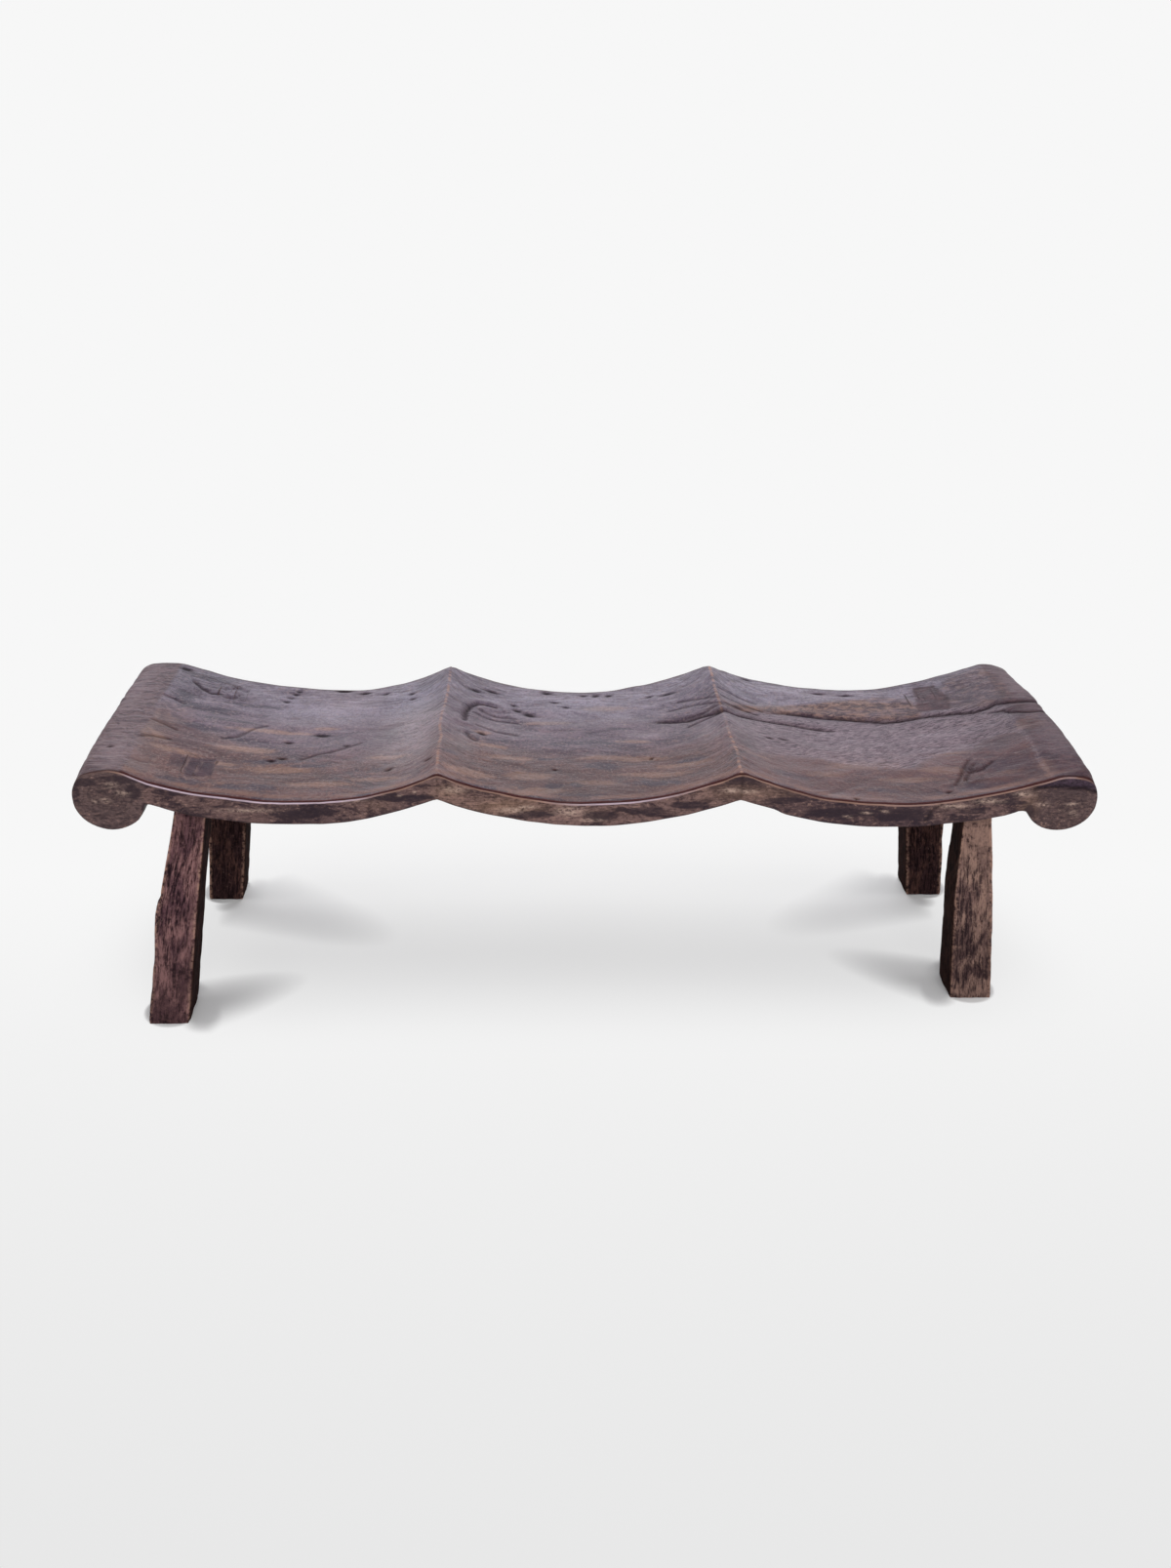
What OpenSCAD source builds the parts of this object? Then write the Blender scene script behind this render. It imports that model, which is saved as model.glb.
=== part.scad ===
/* [Seat] */
// Length of the seat over both end rolls
seat_l = 1692; // [1500:4:1850]
// Depth of the seat from its front edge to its back edge
seat_d = 481; // [420:1:540]
// Height of the two ridges above the floor
ridge_h = 472; // [430:1:520]
// Distance between the two ridges
ridge_spacing = 500; // [440:5:560]
// Distance of the middle of the ridges from the middle of the seat
ridge_shift = 7; // [-20:1:20]
// Distance of the outer crest of each end saddle from its end of the seat: left, right
crest_in = [84, 66]; // [60:1:95]
// Depth of each saddle below the ridges: left, middle, right
saddle_sink = [52, 55, 53]; // [30:1:64]
// Distance of the lowest line of each end saddle from its ridge: left, right
saddle_low_in = [199, 257]; // [180:1:280]
// Thickness of the slab under the lowest line of each saddle
slab_t = 38; // [28:1:50]
// Thickness of the slab under each ridge
ridge_t = 45; // [34:1:60]
// Thickness of the slab where it runs into the end rolls
end_t = 54; // [44:1:64]

/* [End rolls] */
// Width of each end roll: left, right
roll_w = [123, 118]; // [105:1:140]
// Height of each end roll under its crown
roll_h = [110, 105]; // [90:1:125]
// Height of the flattened crown of each roll over the ridges
crown_rise = [8, 3]; // [-10:1:16]
// Radius of the flattened crown of each roll
crown_r = 110; // [90:1:220]

/* [Leg places] */
// Distance of each mortise from its end of the seat: front left, front right, rear left, rear right
mortise_in = [193, 180, 198, 191]; // [150:1:240]
// Distance of each mortise from its long edge of the seat
mortise_edge = [96.5, 84.5, 70.5, 75.5]; // [60:0.5:130]
// Outward rake of each leg along the seat, in degrees
rake_along = [9.0, 5.4, 6.6, 7.9]; // [0:0.1:12]
// Outward rake of each leg across the seat, in degrees
rake_across = [10.9, 0, 2.6, 5.9]; // [0:0.1:14]

/* [Leg sizes] */
// Width of each foot, along the seat
foot_w = [73, 76, 70, 72]; // [56:1:84]
// Depth of each foot, across the seat
foot_d = [86, 73, 71, 73]; // [60:1:90]
// Width of each leg at its knee, where the taper to the tenon starts
knee_w = [72, 69, 76, 77]; // [54:1:84]
// Depth of each leg at its knee
knee_d = [82, 68, 72, 70]; // [60:1:86]
// Height of each knee above the floor
knee_z = [198, 210, 176, 184]; // [120:1:240]
// Outward bow of each leg at its knee, along the seat
knee_bow = [6, -2, 1.5, 2]; // [-5:0.5:8]
// Width of each tenon where it comes out of the saddle
tenon_w = [50, 40, 52, 50]; // [38:1:54]
// Depth of each tenon where it comes out of the saddle
tenon_d = [66, 58, 56, 57]; // [44:1:68]
// Width of the flat hewn along each corner of a leg
corner_flat = 5; // [2:0.5:8]
// Room between a tenon and the walls of its mortise
mortise_gap = 0.15; // [0.05:0.05:0.5]

/* [Wedges] */
// Thickness of each wedge at the saddle
wedge_t = 6; // [3:0.5:9]
// Thickness of each wedge at its tip
wedge_tip_t = 1.6; // [1:0.2:2.4]
// Length of each wedge below the saddle
wedge_l = 30; // [18:1:34]
// Length of the saw kerf below the tip of the wedge
kerf_below = 12; // [4:1:20]
// Room between a wedge and each side of its kerf
wedge_gap = 0.1; // [0.05:0.05:0.3]

/* [Hidden] */
$fn = 96;

// Colours of the stained slab, the legs and the wedges
seat_colour = [0.30, 0.22, 0.20];
leg_colour = [0.26, 0.18, 0.15];
wedge_colour = [0.42, 0.33, 0.28];

// Order of the legs in every list of four above
FRONT_LEFT = 0;
FRONT_RIGHT = 1;
REAR_LEFT = 2;
REAR_RIGHT = 3;
LEGS = [FRONT_LEFT, FRONT_RIGHT, REAR_LEFT, REAR_RIGHT];
// Side of the seat that each leg stands on: along it, then across it
leg_side = [[-1, -1], [1, -1], [-1, 1], [1, 1]];

// Middle of each end roll along the seat, and the crest where its saddle starts: [x, height]
crown_h = [for (end = [0, 1]) ridge_h + crown_rise[end]];
roll_x = [-seat_l / 2 + roll_w[0] / 2, seat_l / 2 - roll_w[1] / 2];
crest_x = [-seat_l / 2 + crest_in[0], seat_l / 2 - crest_in[1]];
function crown_height(end, x) =
    crown_h[end] - crown_r + sqrt(crown_r * crown_r - pow(x - roll_x[end], 2));
function crest(end) = [crest_x[end], crown_height(end, crest_x[end])];
// Crests and ridges from left to right, between which the three saddles hang: [x, height]
peaks = [
    crest(0),
    [ridge_shift - ridge_spacing / 2, ridge_h],
    [ridge_shift + ridge_spacing / 2, ridge_h],
    crest(1)
];
// Thickness of the slab at each of these
peak_t = [end_t, ridge_t, ridge_t, end_t];
highest = max(ridge_h, max(crown_h));
BAYS = [0, 1, 2];

// Outer ends of the leg loft: the tenons are drawn past the crests, then cut flush
above_seat = highest + 20;
// How far a cutting shape runs past the faces that it cuts
past = 5;

// Lowest line of each saddle, halfway between the ridges in the middle one
low_x = [peaks[1].x - saddle_low_in[0], ridge_shift, peaks[2].x + saddle_low_in[1]];
function low(bay) = [low_x[bay], ridge_h - saddle_sink[bay]];
// Radius of the arc that leaves its lowest point level and gains this rise over this run
function arc_radius(run, rise) = (run * run + rise * rise) / (2 * rise);

// Height of a saddle's surface at x: one arc runs up from the lowest line to each peak
function saddle_height(bay, x) =
    let (
        peak = peaks[x < low(bay).x ? bay : bay + 1],
        r = arc_radius(abs(peak.x - low(bay).x), peak.y - low(bay).y)
    )
    low(bay).y + r - sqrt(r * r - pow(x - low(bay).x, 2));
// Middle of each mortise at the saddle's surface, where its leg's tenon comes out
function mortise(leg) = [
    leg_side[leg].x * (seat_l / 2 - mortise_in[leg]),
    leg_side[leg].y * (seat_d / 2 - mortise_edge[leg])
];
function tenon_top_z(leg) = saddle_height(leg_side[leg].x < 0 ? 0 : 2, mortise(leg).x);

// Middle of a leg at height z: straight from mortise to foot, bowed out at the knee
function leg_lean(leg, z) = [
    leg_side[leg].x * (tenon_top_z(leg) - z) * tan(rake_along[leg]),
    leg_side[leg].y * (tenon_top_z(leg) - z) * tan(rake_across[leg])
];
function leg_middle(leg, z, bow = 0) =
    mortise(leg) + leg_lean(leg, z) + [leg_side[leg].x * bow, 0];
// Where the front edges of the seat and feet lie, and the back ones: the frame sits between them
function foot_reach(leg) = leg_middle(leg, 0).y + leg_side[leg].y * foot_d[leg] / 2;
front_y = min(-seat_d / 2, foot_reach(FRONT_LEFT), foot_reach(FRONT_RIGHT));
back_y = max(seat_d / 2, foot_reach(REAR_LEFT), foot_reach(REAR_RIGHT));
frame_shift = [0, -(front_y + back_y) / 2, 0];

// Size of a leg at its top end, on the line from knee to tenon carried up past the saddle
function carried(leg, knee, tenon) =
    tenon + (tenon - knee) * (above_seat - tenon_top_z(leg)) / (tenon_top_z(leg) - knee_z[leg]);
// Bow of a leg at its top end, carried up on the same line, so that it is nil at the saddle
function top_bow(leg) =
    -knee_bow[leg] * (above_seat - tenon_top_z(leg)) / (tenon_top_z(leg) - knee_z[leg]);

// A level section of a leg: [middle x, middle y, height, width, depth]
function section(leg, z, w, d, bow) =
    let (m = leg_middle(leg, z, bow)) [m.x, m.y, z, w, d];
function leg_sections(leg) = [
    section(leg, 0, foot_w[leg], foot_d[leg], 0),
    section(leg, knee_z[leg], knee_w[leg], knee_d[leg], knee_bow[leg]),
    section(leg, above_seat,
        carried(leg, knee_w[leg], tenon_w[leg]),
        carried(leg, knee_d[leg], tenon_d[leg]),
        top_bow(leg))
];

// Corners of a level section, anticlockwise from above, with a flat across each corner
function octagon(s, flat, grow) =
    let (
        w = s[3] / 2 + grow,
        d = s[4] / 2 + grow,
        c = flat / sqrt(2),
        corners = [
            [w, -d + c], [w, d - c], [w - c, d], [-w + c, d],
            [-w, d - c], [-w, -d + c], [-w + c, -d], [w - c, -d]
        ]
    )
    [for (p = corners) [s[0] + p.x, s[1] + p.y, s[2]]];

// A solid through level sections, from the lowest to the highest
module loft(sections, flat, grow = 0) {
    sides = 8;
    top = sides * (len(sections) - 1);
    points = [for (s = sections) each octagon(s, flat, grow)];
    walls = [
        for (level = [0:len(sections) - 2], i = [0:sides - 1])
            let (a = level * sides + i, b = level * sides + (i + 1) % sides)
            [a, a + sides, b + sides, b]
    ];
    floor_face = [for (i = [0:sides - 1]) i];
    top_face = [for (i = [sides - 1:-1:0]) top + i];
    polyhedron(points, concat([floor_face], walls, [top_face]));
}

// Stands a side view, drawn in x and z, up across the depth given
module across(depth) {
    translate([0, depth / 2, 0])
        rotate([90, 0, 0])
            linear_extrude(depth)
                children();
}

// Side view of the space over an arc that runs up from a lowest point to a peak
module over_arc_2d(lowest, peak, top) {
    r = arc_radius(abs(peak.x - lowest.x), peak.y - lowest.y);
    intersection() {
        translate([lowest.x, lowest.y + r])
            circle(r, $fn = 240);
        translate([min(peak.x, lowest.x), 0])
            square([abs(peak.x - lowest.x), top]);
    }
}

// Side view of the space over the three saddles, up to a height
module saddle_hollows_2d(top) {
    for (bay = BAYS, end = [0, 1])
        over_arc_2d(low(bay), peaks[bay + end], top);
}

// Side view of everything over the scalloped underside of the slab
module bellies_2d() {
    for (bay = BAYS, end = [0, 1])
        over_arc_2d(
            low(bay) - [0, slab_t],
            peaks[bay + end] - [0, peak_t[bay + end]],
            highest
        );
}

// Side view of an end roll: the round of the log under its flattened crown
module roll_2d(end) {
    r = roll_w[end] / 2;
    intersection() {
        translate([roll_x[end], crown_h[end] - roll_h[end] + r])
            circle(r);
        translate([roll_x[end], crown_h[end] - crown_r])
            circle(crown_r, $fn = 240);
    }
}

// Side view of the whole slab
module slab_2d() {
    difference() {
        union() {
            bellies_2d();
            roll_2d(0);
            roll_2d(1);
        }
        saddle_hollows_2d(highest + past);
    }
}

// A whole leg with its tenon still standing through the seat
module leg_blank(leg, grow = 0) {
    loft(leg_sections(leg), corner_flat, grow);
}

// Level slice of a leg's kerf or wedge: thin along the seat, as deep as the tenon
function kerf_section(leg, below, t) =
    let (
        z = tenon_top_z(leg) - below,
        share = (z - knee_z[leg]) / (tenon_top_z(leg) - knee_z[leg]),
        d = knee_d[leg] + (tenon_d[leg] - knee_d[leg]) * share,
        m = leg_middle(leg, z, knee_bow[leg] * (1 - share))
    )
    [m.x, m.y, z, t, d];
// Thickness of a wedge carried up past the saddle
function wedge_t_at(below) = wedge_tip_t + (wedge_t - wedge_tip_t) * (wedge_l - below) / wedge_l;

// The wedge's own taper, grown by gap on each side
module wedge_blank(leg, gap) {
    over = above_seat - tenon_top_z(leg);
    loft([
        kerf_section(leg, wedge_l, wedge_tip_t + 2 * gap),
        kerf_section(leg, -over, wedge_t_at(-over) + 2 * gap)
    ], 0);
}

// Saw kerf below the wedge, with the wedge's seat above it, cut right through the tenon
module kerf(leg) {
    side_room = past * 2;
    tip = kerf_section(leg, wedge_l, wedge_tip_t + 2 * wedge_gap);
    foot = kerf_section(leg, wedge_l + kerf_below, wedge_tip_t + 2 * wedge_gap);
    over = above_seat - tenon_top_z(leg);
    head = kerf_section(leg, -over, wedge_t_at(-over) + 2 * wedge_gap);
    loft([for (s = [foot, tip, head]) [s[0], s[1], s[2], s[3], s[4] + side_room]], 0);
}

// Cuts what stands above the saddles
module flush_with_saddles() {
    difference() {
        children();
        across(seat_d)
            saddle_hollows_2d(above_seat + past);
    }
}

module seat() {
    color(seat_colour)
        difference() {
            across(seat_d)
                slab_2d();
            for (leg = LEGS)
                leg_blank(leg, mortise_gap);
        }
}

module leg(leg) {
    color(leg_colour)
        flush_with_saddles()
            difference() {
                leg_blank(leg);
                kerf(leg);
            }
}

module wedge(leg) {
    color(wedge_colour)
        flush_with_saddles()
            wedge_blank(leg, 0);
}

translate(frame_shift) {
    seat();
    leg(FRONT_LEFT);  // leg_front_left
    leg(FRONT_RIGHT);  // leg_front_right
    leg(REAR_LEFT);  // leg_rear_left
    leg(REAR_RIGHT);  // leg_rear_right
    wedge(FRONT_LEFT);  // wedge_front_left
    wedge(FRONT_RIGHT);  // wedge_front_right
    wedge(REAR_LEFT);  // wedge_rear_left
    wedge(REAR_RIGHT);  // wedge_rear_right
}
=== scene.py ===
"""Saddle bench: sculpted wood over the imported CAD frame, camera, floor and light."""

import itertools
import math

import bpy
import numpy as np
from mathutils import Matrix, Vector


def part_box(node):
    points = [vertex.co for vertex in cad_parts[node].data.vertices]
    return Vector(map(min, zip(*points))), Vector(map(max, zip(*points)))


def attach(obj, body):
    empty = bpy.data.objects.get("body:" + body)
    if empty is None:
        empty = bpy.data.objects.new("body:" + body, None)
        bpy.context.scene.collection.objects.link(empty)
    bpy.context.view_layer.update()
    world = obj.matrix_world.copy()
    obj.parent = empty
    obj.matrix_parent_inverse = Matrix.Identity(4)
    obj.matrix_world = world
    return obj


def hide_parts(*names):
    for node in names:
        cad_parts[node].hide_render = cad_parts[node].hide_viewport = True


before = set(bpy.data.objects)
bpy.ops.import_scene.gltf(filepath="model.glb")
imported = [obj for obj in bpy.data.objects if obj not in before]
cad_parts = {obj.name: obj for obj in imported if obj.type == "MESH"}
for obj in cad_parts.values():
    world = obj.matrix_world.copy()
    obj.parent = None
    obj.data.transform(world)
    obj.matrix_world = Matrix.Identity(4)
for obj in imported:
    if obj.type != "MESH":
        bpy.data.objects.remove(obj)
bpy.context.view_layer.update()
MM = 0.001

# Sizes, in millimetres
SEAT_L, SEAT_D, RIDGE_H = 1692.0, 481.0, 472.0
CROWN_H, ROLL_H, ROLL_W, CROWN_R = (480.0, 475.0), (110.0, 105.0), (123.0, 118.0), 110.0
CREST_IN = (84.0, 66.0)
SINK, LOW_IN = (52.0, 55.0, 53.0), (199.0, 257.0)
RIDGE_X = (-243.0, 257.0)
SLAB_T, PEAK_T = 38.0, (54.0, 45.0, 45.0, 54.0)
seat_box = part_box("seat")
SEAT_Y = (seat_box[0].y + seat_box[1].y) / 2 / MM
HALF_D = SEAT_D / 2

ROLL_X = (-SEAT_L / 2 + ROLL_W[0] / 2, SEAT_L / 2 - ROLL_W[1] / 2)
CREST_X = (-SEAT_L / 2 + CREST_IN[0], SEAT_L / 2 - CREST_IN[1])


def crown_z(end, x):
    return CROWN_H[end] - CROWN_R + np.sqrt(np.maximum(CROWN_R**2 - (x - ROLL_X[end]) ** 2, 0))


PEAKS = [
    (CREST_X[0], float(crown_z(0, CREST_X[0]))),
    (RIDGE_X[0], RIDGE_H),
    (RIDGE_X[1], RIDGE_H),
    (CREST_X[1], float(crown_z(1, CREST_X[1]))),
]
LOWS = [
    (RIDGE_X[0] - LOW_IN[0], RIDGE_H - SINK[0]),
    (sum(RIDGE_X) / 2, RIDGE_H - SINK[1]),
    (RIDGE_X[1] + LOW_IN[1], RIDGE_H - SINK[2]),
]


def arc_z(x, low, peak):
    run, rise = abs(peak[0] - low[0]), peak[1] - low[1]
    r = (run * run + rise * rise) / (2 * rise)
    return low[1] + r - np.sqrt(np.maximum(r * r - (x - low[0]) ** 2, 0))


def scallops(x, drop_low, drop_peak):
    """Height of three hanging saddles at x, lowered at their lowest lines and at their peaks."""
    z = np.full_like(x, 1e3)
    for bay in range(3):
        low = (LOWS[bay][0], LOWS[bay][1] - drop_low)
        for end in (0, 1):
            peak = (PEAKS[bay + end][0], PEAKS[bay + end][1] - drop_peak[bay + end])
            a, b = sorted((low[0], peak[0]))
            inside = (x >= a) & (x <= b)
            z = np.where(inside, arc_z(x, low, peak), z)
    return z


def plain_z(x):
    """Height of the plain saddles at x."""
    return scallops(x, 0, (0, 0, 0, 0))


# Noise
class Noise:
    """Smooth gradient noise in three dimensions, about -1 to 1, the same on every run."""

    def __init__(self, seed):
        rng = np.random.default_rng(seed)
        self.perm = np.tile(rng.permutation(256), 3)
        g = rng.normal(size=(256, 3))
        self.grad = g / np.linalg.norm(g, axis=1)[:, None]

    def __call__(self, x, y=0.0, z=0.0):
        x, y, z = np.broadcast_arrays(np.asarray(x, float), y, z)
        i = [np.floor(v).astype(int) for v in (x, y, z)]
        f = [v - k for v, k in zip((x, y, z), i)]
        u = [t * t * t * (t * (t * 6 - 15) + 10) for t in f]
        total = 0.0
        for dx, dy, dz in itertools.product((0, 1), repeat=3):
            h = self.perm[(i[0] + dx) & 255]
            h = self.perm[h + ((i[1] + dy) & 255)]
            g = self.grad[self.perm[h + ((i[2] + dz) & 255)]]
            dot = g[..., 0] * (f[0] - dx) + g[..., 1] * (f[1] - dy) + g[..., 2] * (f[2] - dz)
            w = [t if d else 1 - t for t, d in zip(u, (dx, dy, dz))]
            total = total + w[0] * w[1] * w[2] * dot
        return total * 1.6


def fbm(noise, x, y=0.0, z=0.0, octaves=3, gain=0.5):
    total, amp, k = 0.0, 1.0, 1.0
    for o in range(octaves):
        total = total + amp * noise(x * k + 13.7 * o, y * k - 7.1 * o, z * k + 3.3 * o)
        amp, k = amp * gain, k * 2.03
    return total


N1, N2, N3, N4 = Noise(11), Noise(23), Noise(37), Noise(53)


def smooth(a, b, x):
    t = np.clip((x - a) / (b - a), 0, 1)
    return t * t * (3 - 2 * t)


def bump(x, width):
    return np.exp(-((x / width) ** 2))


def to_line(x, y, points):
    """Distance from each point to a polyline, and the side of it: above 0 towards the back."""
    best, side = np.full(np.shape(x), 1e9), np.zeros(np.shape(x))
    for (ax, ay), (bx, by) in zip(points[:-1], points[1:]):
        dx, dy = bx - ax, by - ay
        t = np.clip(((x - ax) * dx + (y - ay) * dy) / (dx * dx + dy * dy), 0, 1)
        ex, ey = x - ax - t * dx, y - ay - t * dy
        d = np.hypot(ex, ey)
        near = d < best
        best = np.where(near, d, best)
        side = np.where(near, np.sign(dx * ey - dy * ex), side)
    return best, side


def trace(x, y, points, width):
    """A soft line along a polyline: 1 on it and 0 a little beside it."""
    return bump(to_line(x, y, points)[0], width)


# Marks in the seat's top, x and y from its middle
CHECK = [
    (130, 62), (160, 52), (198, 37), (222, 38), (245, 35), (262, 43), (283, 34), (339, 46), (389, 54),
    (480, 53),
]
CHECK_MID = [(196, 8), (223, 20), (243, 24), (262, 42)]
SPLIT = [
    (318, 62), (350, 84), (382, 101), (435, 107), (503, 106), (562, 92), (596, 87), (638, 88), (689, 78),
    (723, 62), (744, 62), (762, 68), (774, 61), (800, 57), (846, 48),
]
FORK = [(736, 44), (767, 33), (774, 17), (808, 8), (846, 4)]
LIP = [(760, 36), (774, 36), (794, 42), (846, 30)]
LEDGE = [
    (250, -128), (308, -109), (360, -92), (415, -82), (461, -94), (518, -103), (546, -109), (575, -109),
    (600, -82), (640, -68), (685, -72), (697, -57), (709, -50), (739, -47), (760, -58), (768, -80),
    (766, -119), (761, -182), (768, -228), (764, -250),
]
SEAM_LEFT = [
    (-757, 250), (-757, 199), (-759, 124), (-764, 41), (-760, 5), (-758, -30), (-764, -65), (-762, -105),
    (-759, -149), (-760, -198), (-763, -250),
]
GOUGE = [(-206, 18), (-205, 54), (-198, 87), (-184, 112), (-166, 117), (-151, 115)]
GOUGE_FRONT = [(-201, -30), (-194, -45), (-185, -51)]
EYE = [
    (-668, 152), (-660, 176), (-645, 188), (-627, 184), (-632, 164), (-645, 144), (-661, 143), (-668, 152),
]
EYE_TAIL = [(-722, 172), (-704, 153), (-686, 144), (-668, 150)]
SCRAPES = [
    [(-634, -28), (-610, -9), (-586, 35), (-568, 50)],
    [(-491, -77), (-466, -55), (-440, -42), (-392, -12)],
    [(666, -112), (647, -149), (627, -186)],
    [(669, -132), (645, -175)],
    [(700, -134), (678, -152), (660, -152)],
    [(-756, -22), (-736, -26), (-712, -34)],
    [(-760, -94), (-742, -84), (-716, -78)],
    [(-758, 88), (-740, 84), (-722, 74)],
    [(146, 52), (184, 46), (225, 48), (262, 66)],
    [(170, 96), (205, 92), (236, 80), (260, 70)],
    [(188, 122), (214, 116), (244, 100), (260, 92)],
    [(268, 76), (300, 66), (330, 62)],
    [(268, 104), (302, 92), (340, 84)],
    [(266, 140), (300, 124), (330, 118)],
    [(-190, 64), (-150, 60), (-110, 66)],
    [(-182, 84), (-150, 78), (-116, 84)],
    [(-184, 12), (-150, 6), (-112, 10)],
]
PITS = [
    (-744, 216, 14, 7), (-799, -145, 6, 3), (-447, 231, 17, 5), (-403, 217, 12, 4), (-362, 200, 8, 3),
    (-310, 168, 7, 3), (-307, 146, 7, 3), (-549, 167, 8, 3), (-544, 187, 8, 3), (-536, 206, 7, 3),
    (-531, 218, 6, 3), (-521, -9, 8, 4), (-466, 31, 13, 5), (-540, -89, 7, 4), (-523, -78, 9, 4),
    (-330, -148, 8, 3), (-261, -163, 7, 3), (-416, -18, 6, 3), (-189, 165, 11, 4), (-158, 182, 16, 4),
    (-89, 112, 13, 6), (-111, 120, 9, 4), (-118, 141, 6, 3), (-174, -17, 9, 4), (-54, 223, 11, 4),
    (-40, 182, 9, 3), (-18, 162, 8, 3), (17, 220, 9, 3), (40, 218, 8, 4), (66, 214, 8, 4),
    (123, -88, 4, 3), (-46, -114, 5, 3), (174, 168, 18, 3), (140, 176, 8, 3), (330, 226, 12, 4),
    (470, 214, 16, 3), (520, 208, 16, 3), (610, -205, 5, 3), (335, -36, 10, 3), (360, -28, 10, 3),
    (452, -224, 5, 3),
]
UMBER = [
    # brown, worn through patches behind the split and along the left roll
    ([(268, 66), (330, 108), (420, 150), (500, 180), (580, 196), (634, 170), (640, 122), (636, 92), (
        560, 97,
    ),
      (435, 112), (350, 90), (300, 60)], 0.8),
    ([(-757, 60), (-700, 70), (-690, 10), (-722, -30), (-728, -90), (-748, -150), (-762, -100),
      (-760, 5)], 0.3),
    ([(690, 100), (694, 190), (720, 222), (780, 222), (800, 130), (790, 70), (740, 72)], 0.42),
    ([(-700, -190), (-640, -192), (-560, -178), (-560, -232), (-640, -236), (-700, -226)], 0.3),
]
BROWN = [
    # warmer brown ground under the bands, at the front of the left and the middle saddle
    ([(-750, 0), (-640, -10), (-540, -60), (-430, -110), (-430, -190), (-560, -215), (-700, -215),
      (-750, -150)], 0.5),
    ([(-235, -60), (-100, -40), (60, -60), (200, -80), (240, -150), (240, -225), (60, -235), (-120, -235),
      (-235, -215)], 0.5),
]
PATCHES = [
    # a worn or darker patch: outline, then how dark it is
    ([(-686, -126), (-632, -106), (-628, -168), (-668, -187)], 1.1),
    ([(-706, -104), (-686, -118), (-680, -160), (-700, -160)], 0.6),
    ([(634, 108), (641, 152), (650, 212), (688, 204), (700, 140), (692, 96)], 0.9),
    ([(772, -236), (846, -236), (846, 236), (780, 236), (774, 60)], 0.5),
    ([(660, -110), (735, -50), (764, -66), (766, -119), (761, -182), (766, -228), (700, -222),
      (640, -196)], 0.32),
    ([(-752, 40), (-700, 10), (-640, -60), (-690, -100), (-745, -60)], 0.35),
]
# soft bands that lie along the log: x, y, half their length and half their width
WARM = [
    (-745, -75, 25, 20), (-560, 30, 80, 9), (-590, -55, 60, 15), (-620, -120, 25, 9), (-525, -120, 65, 13),
    (-450, -170, 65, 11), (-345, -175, 55, 9), (-635, -240, 25, 7), (-335, -95, 45, 9), (-700, -110, 45, 11),
    (-460, 60, 26, 7), (-195, -190, 50, 15), (-120, -90, 50, 10), (-175, -10, 20, 7),
    (75, -70, 90, 11), (-90, -150, 45, 18), (20, -160, 50, 11), (170, -135, 50, 10), (-55, 85, 50, 10),
    (-155, -55, 30, 8), (55, 155, 50, 13), (120, -150, 70, 10), (-75, -205, 50, 15), (98, -8, 36, 7),
    (490, -95, 75, 16), (555, -150, 55, 12), (620, -130, 40, 14), (405, 130, 75, 20), (525, 165, 65, 20),
    (790, -40, 25, 29), (415, -145, 40, 12), (330, 88, 60, 16), (640, -73, 42, 6), (298, -133, 28, 5),
    (712, -176, 27, 9), (772, -190, 14, 22),
]
DIM = [
    (-700, 205, 60, 16), (-640, 50, 60, 9), (-600, 130, 60, 9), (-675, 80, 65, 19), (-675, 0, 45, 13),
    (-730, 105, 25, 28), (-530, -90, 70, 9), (-470, -100, 40, 7), (-565, -195, 60, 13), (-675, -205, 45, 11),
    (-465, 30, 25, 7), (-615, -20, 25, 7), (-370, -225, 65, 7), (-510, -225, 65, 7), (-50, -175, 20, 10),
    (-10, -170, 15, 10), (35, -95, 40, 16), (-60, -70, 30, 6), (20, -215, 105, 13), (120, -185, 50, 11),
    (-230, -135, 20, 8), (-135, -25, 30, 7), (190, -125, 30, 10), (-95, -235, 35, 10), (-170, -228, 50, 8),
    (-15, 2, 46, 8), (36, 2, 42, 8), (78, 56, 26, 6), (725, -155, 50, 25), (350, -175, 50, 12),
    (650, -220, 90, 12), (540, -220, 65, 10), (710, -80, 35, 20), (675, -205, 50, 12), (510, -185, 40, 8),
    (310, -232, 50, 8),
]
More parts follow.
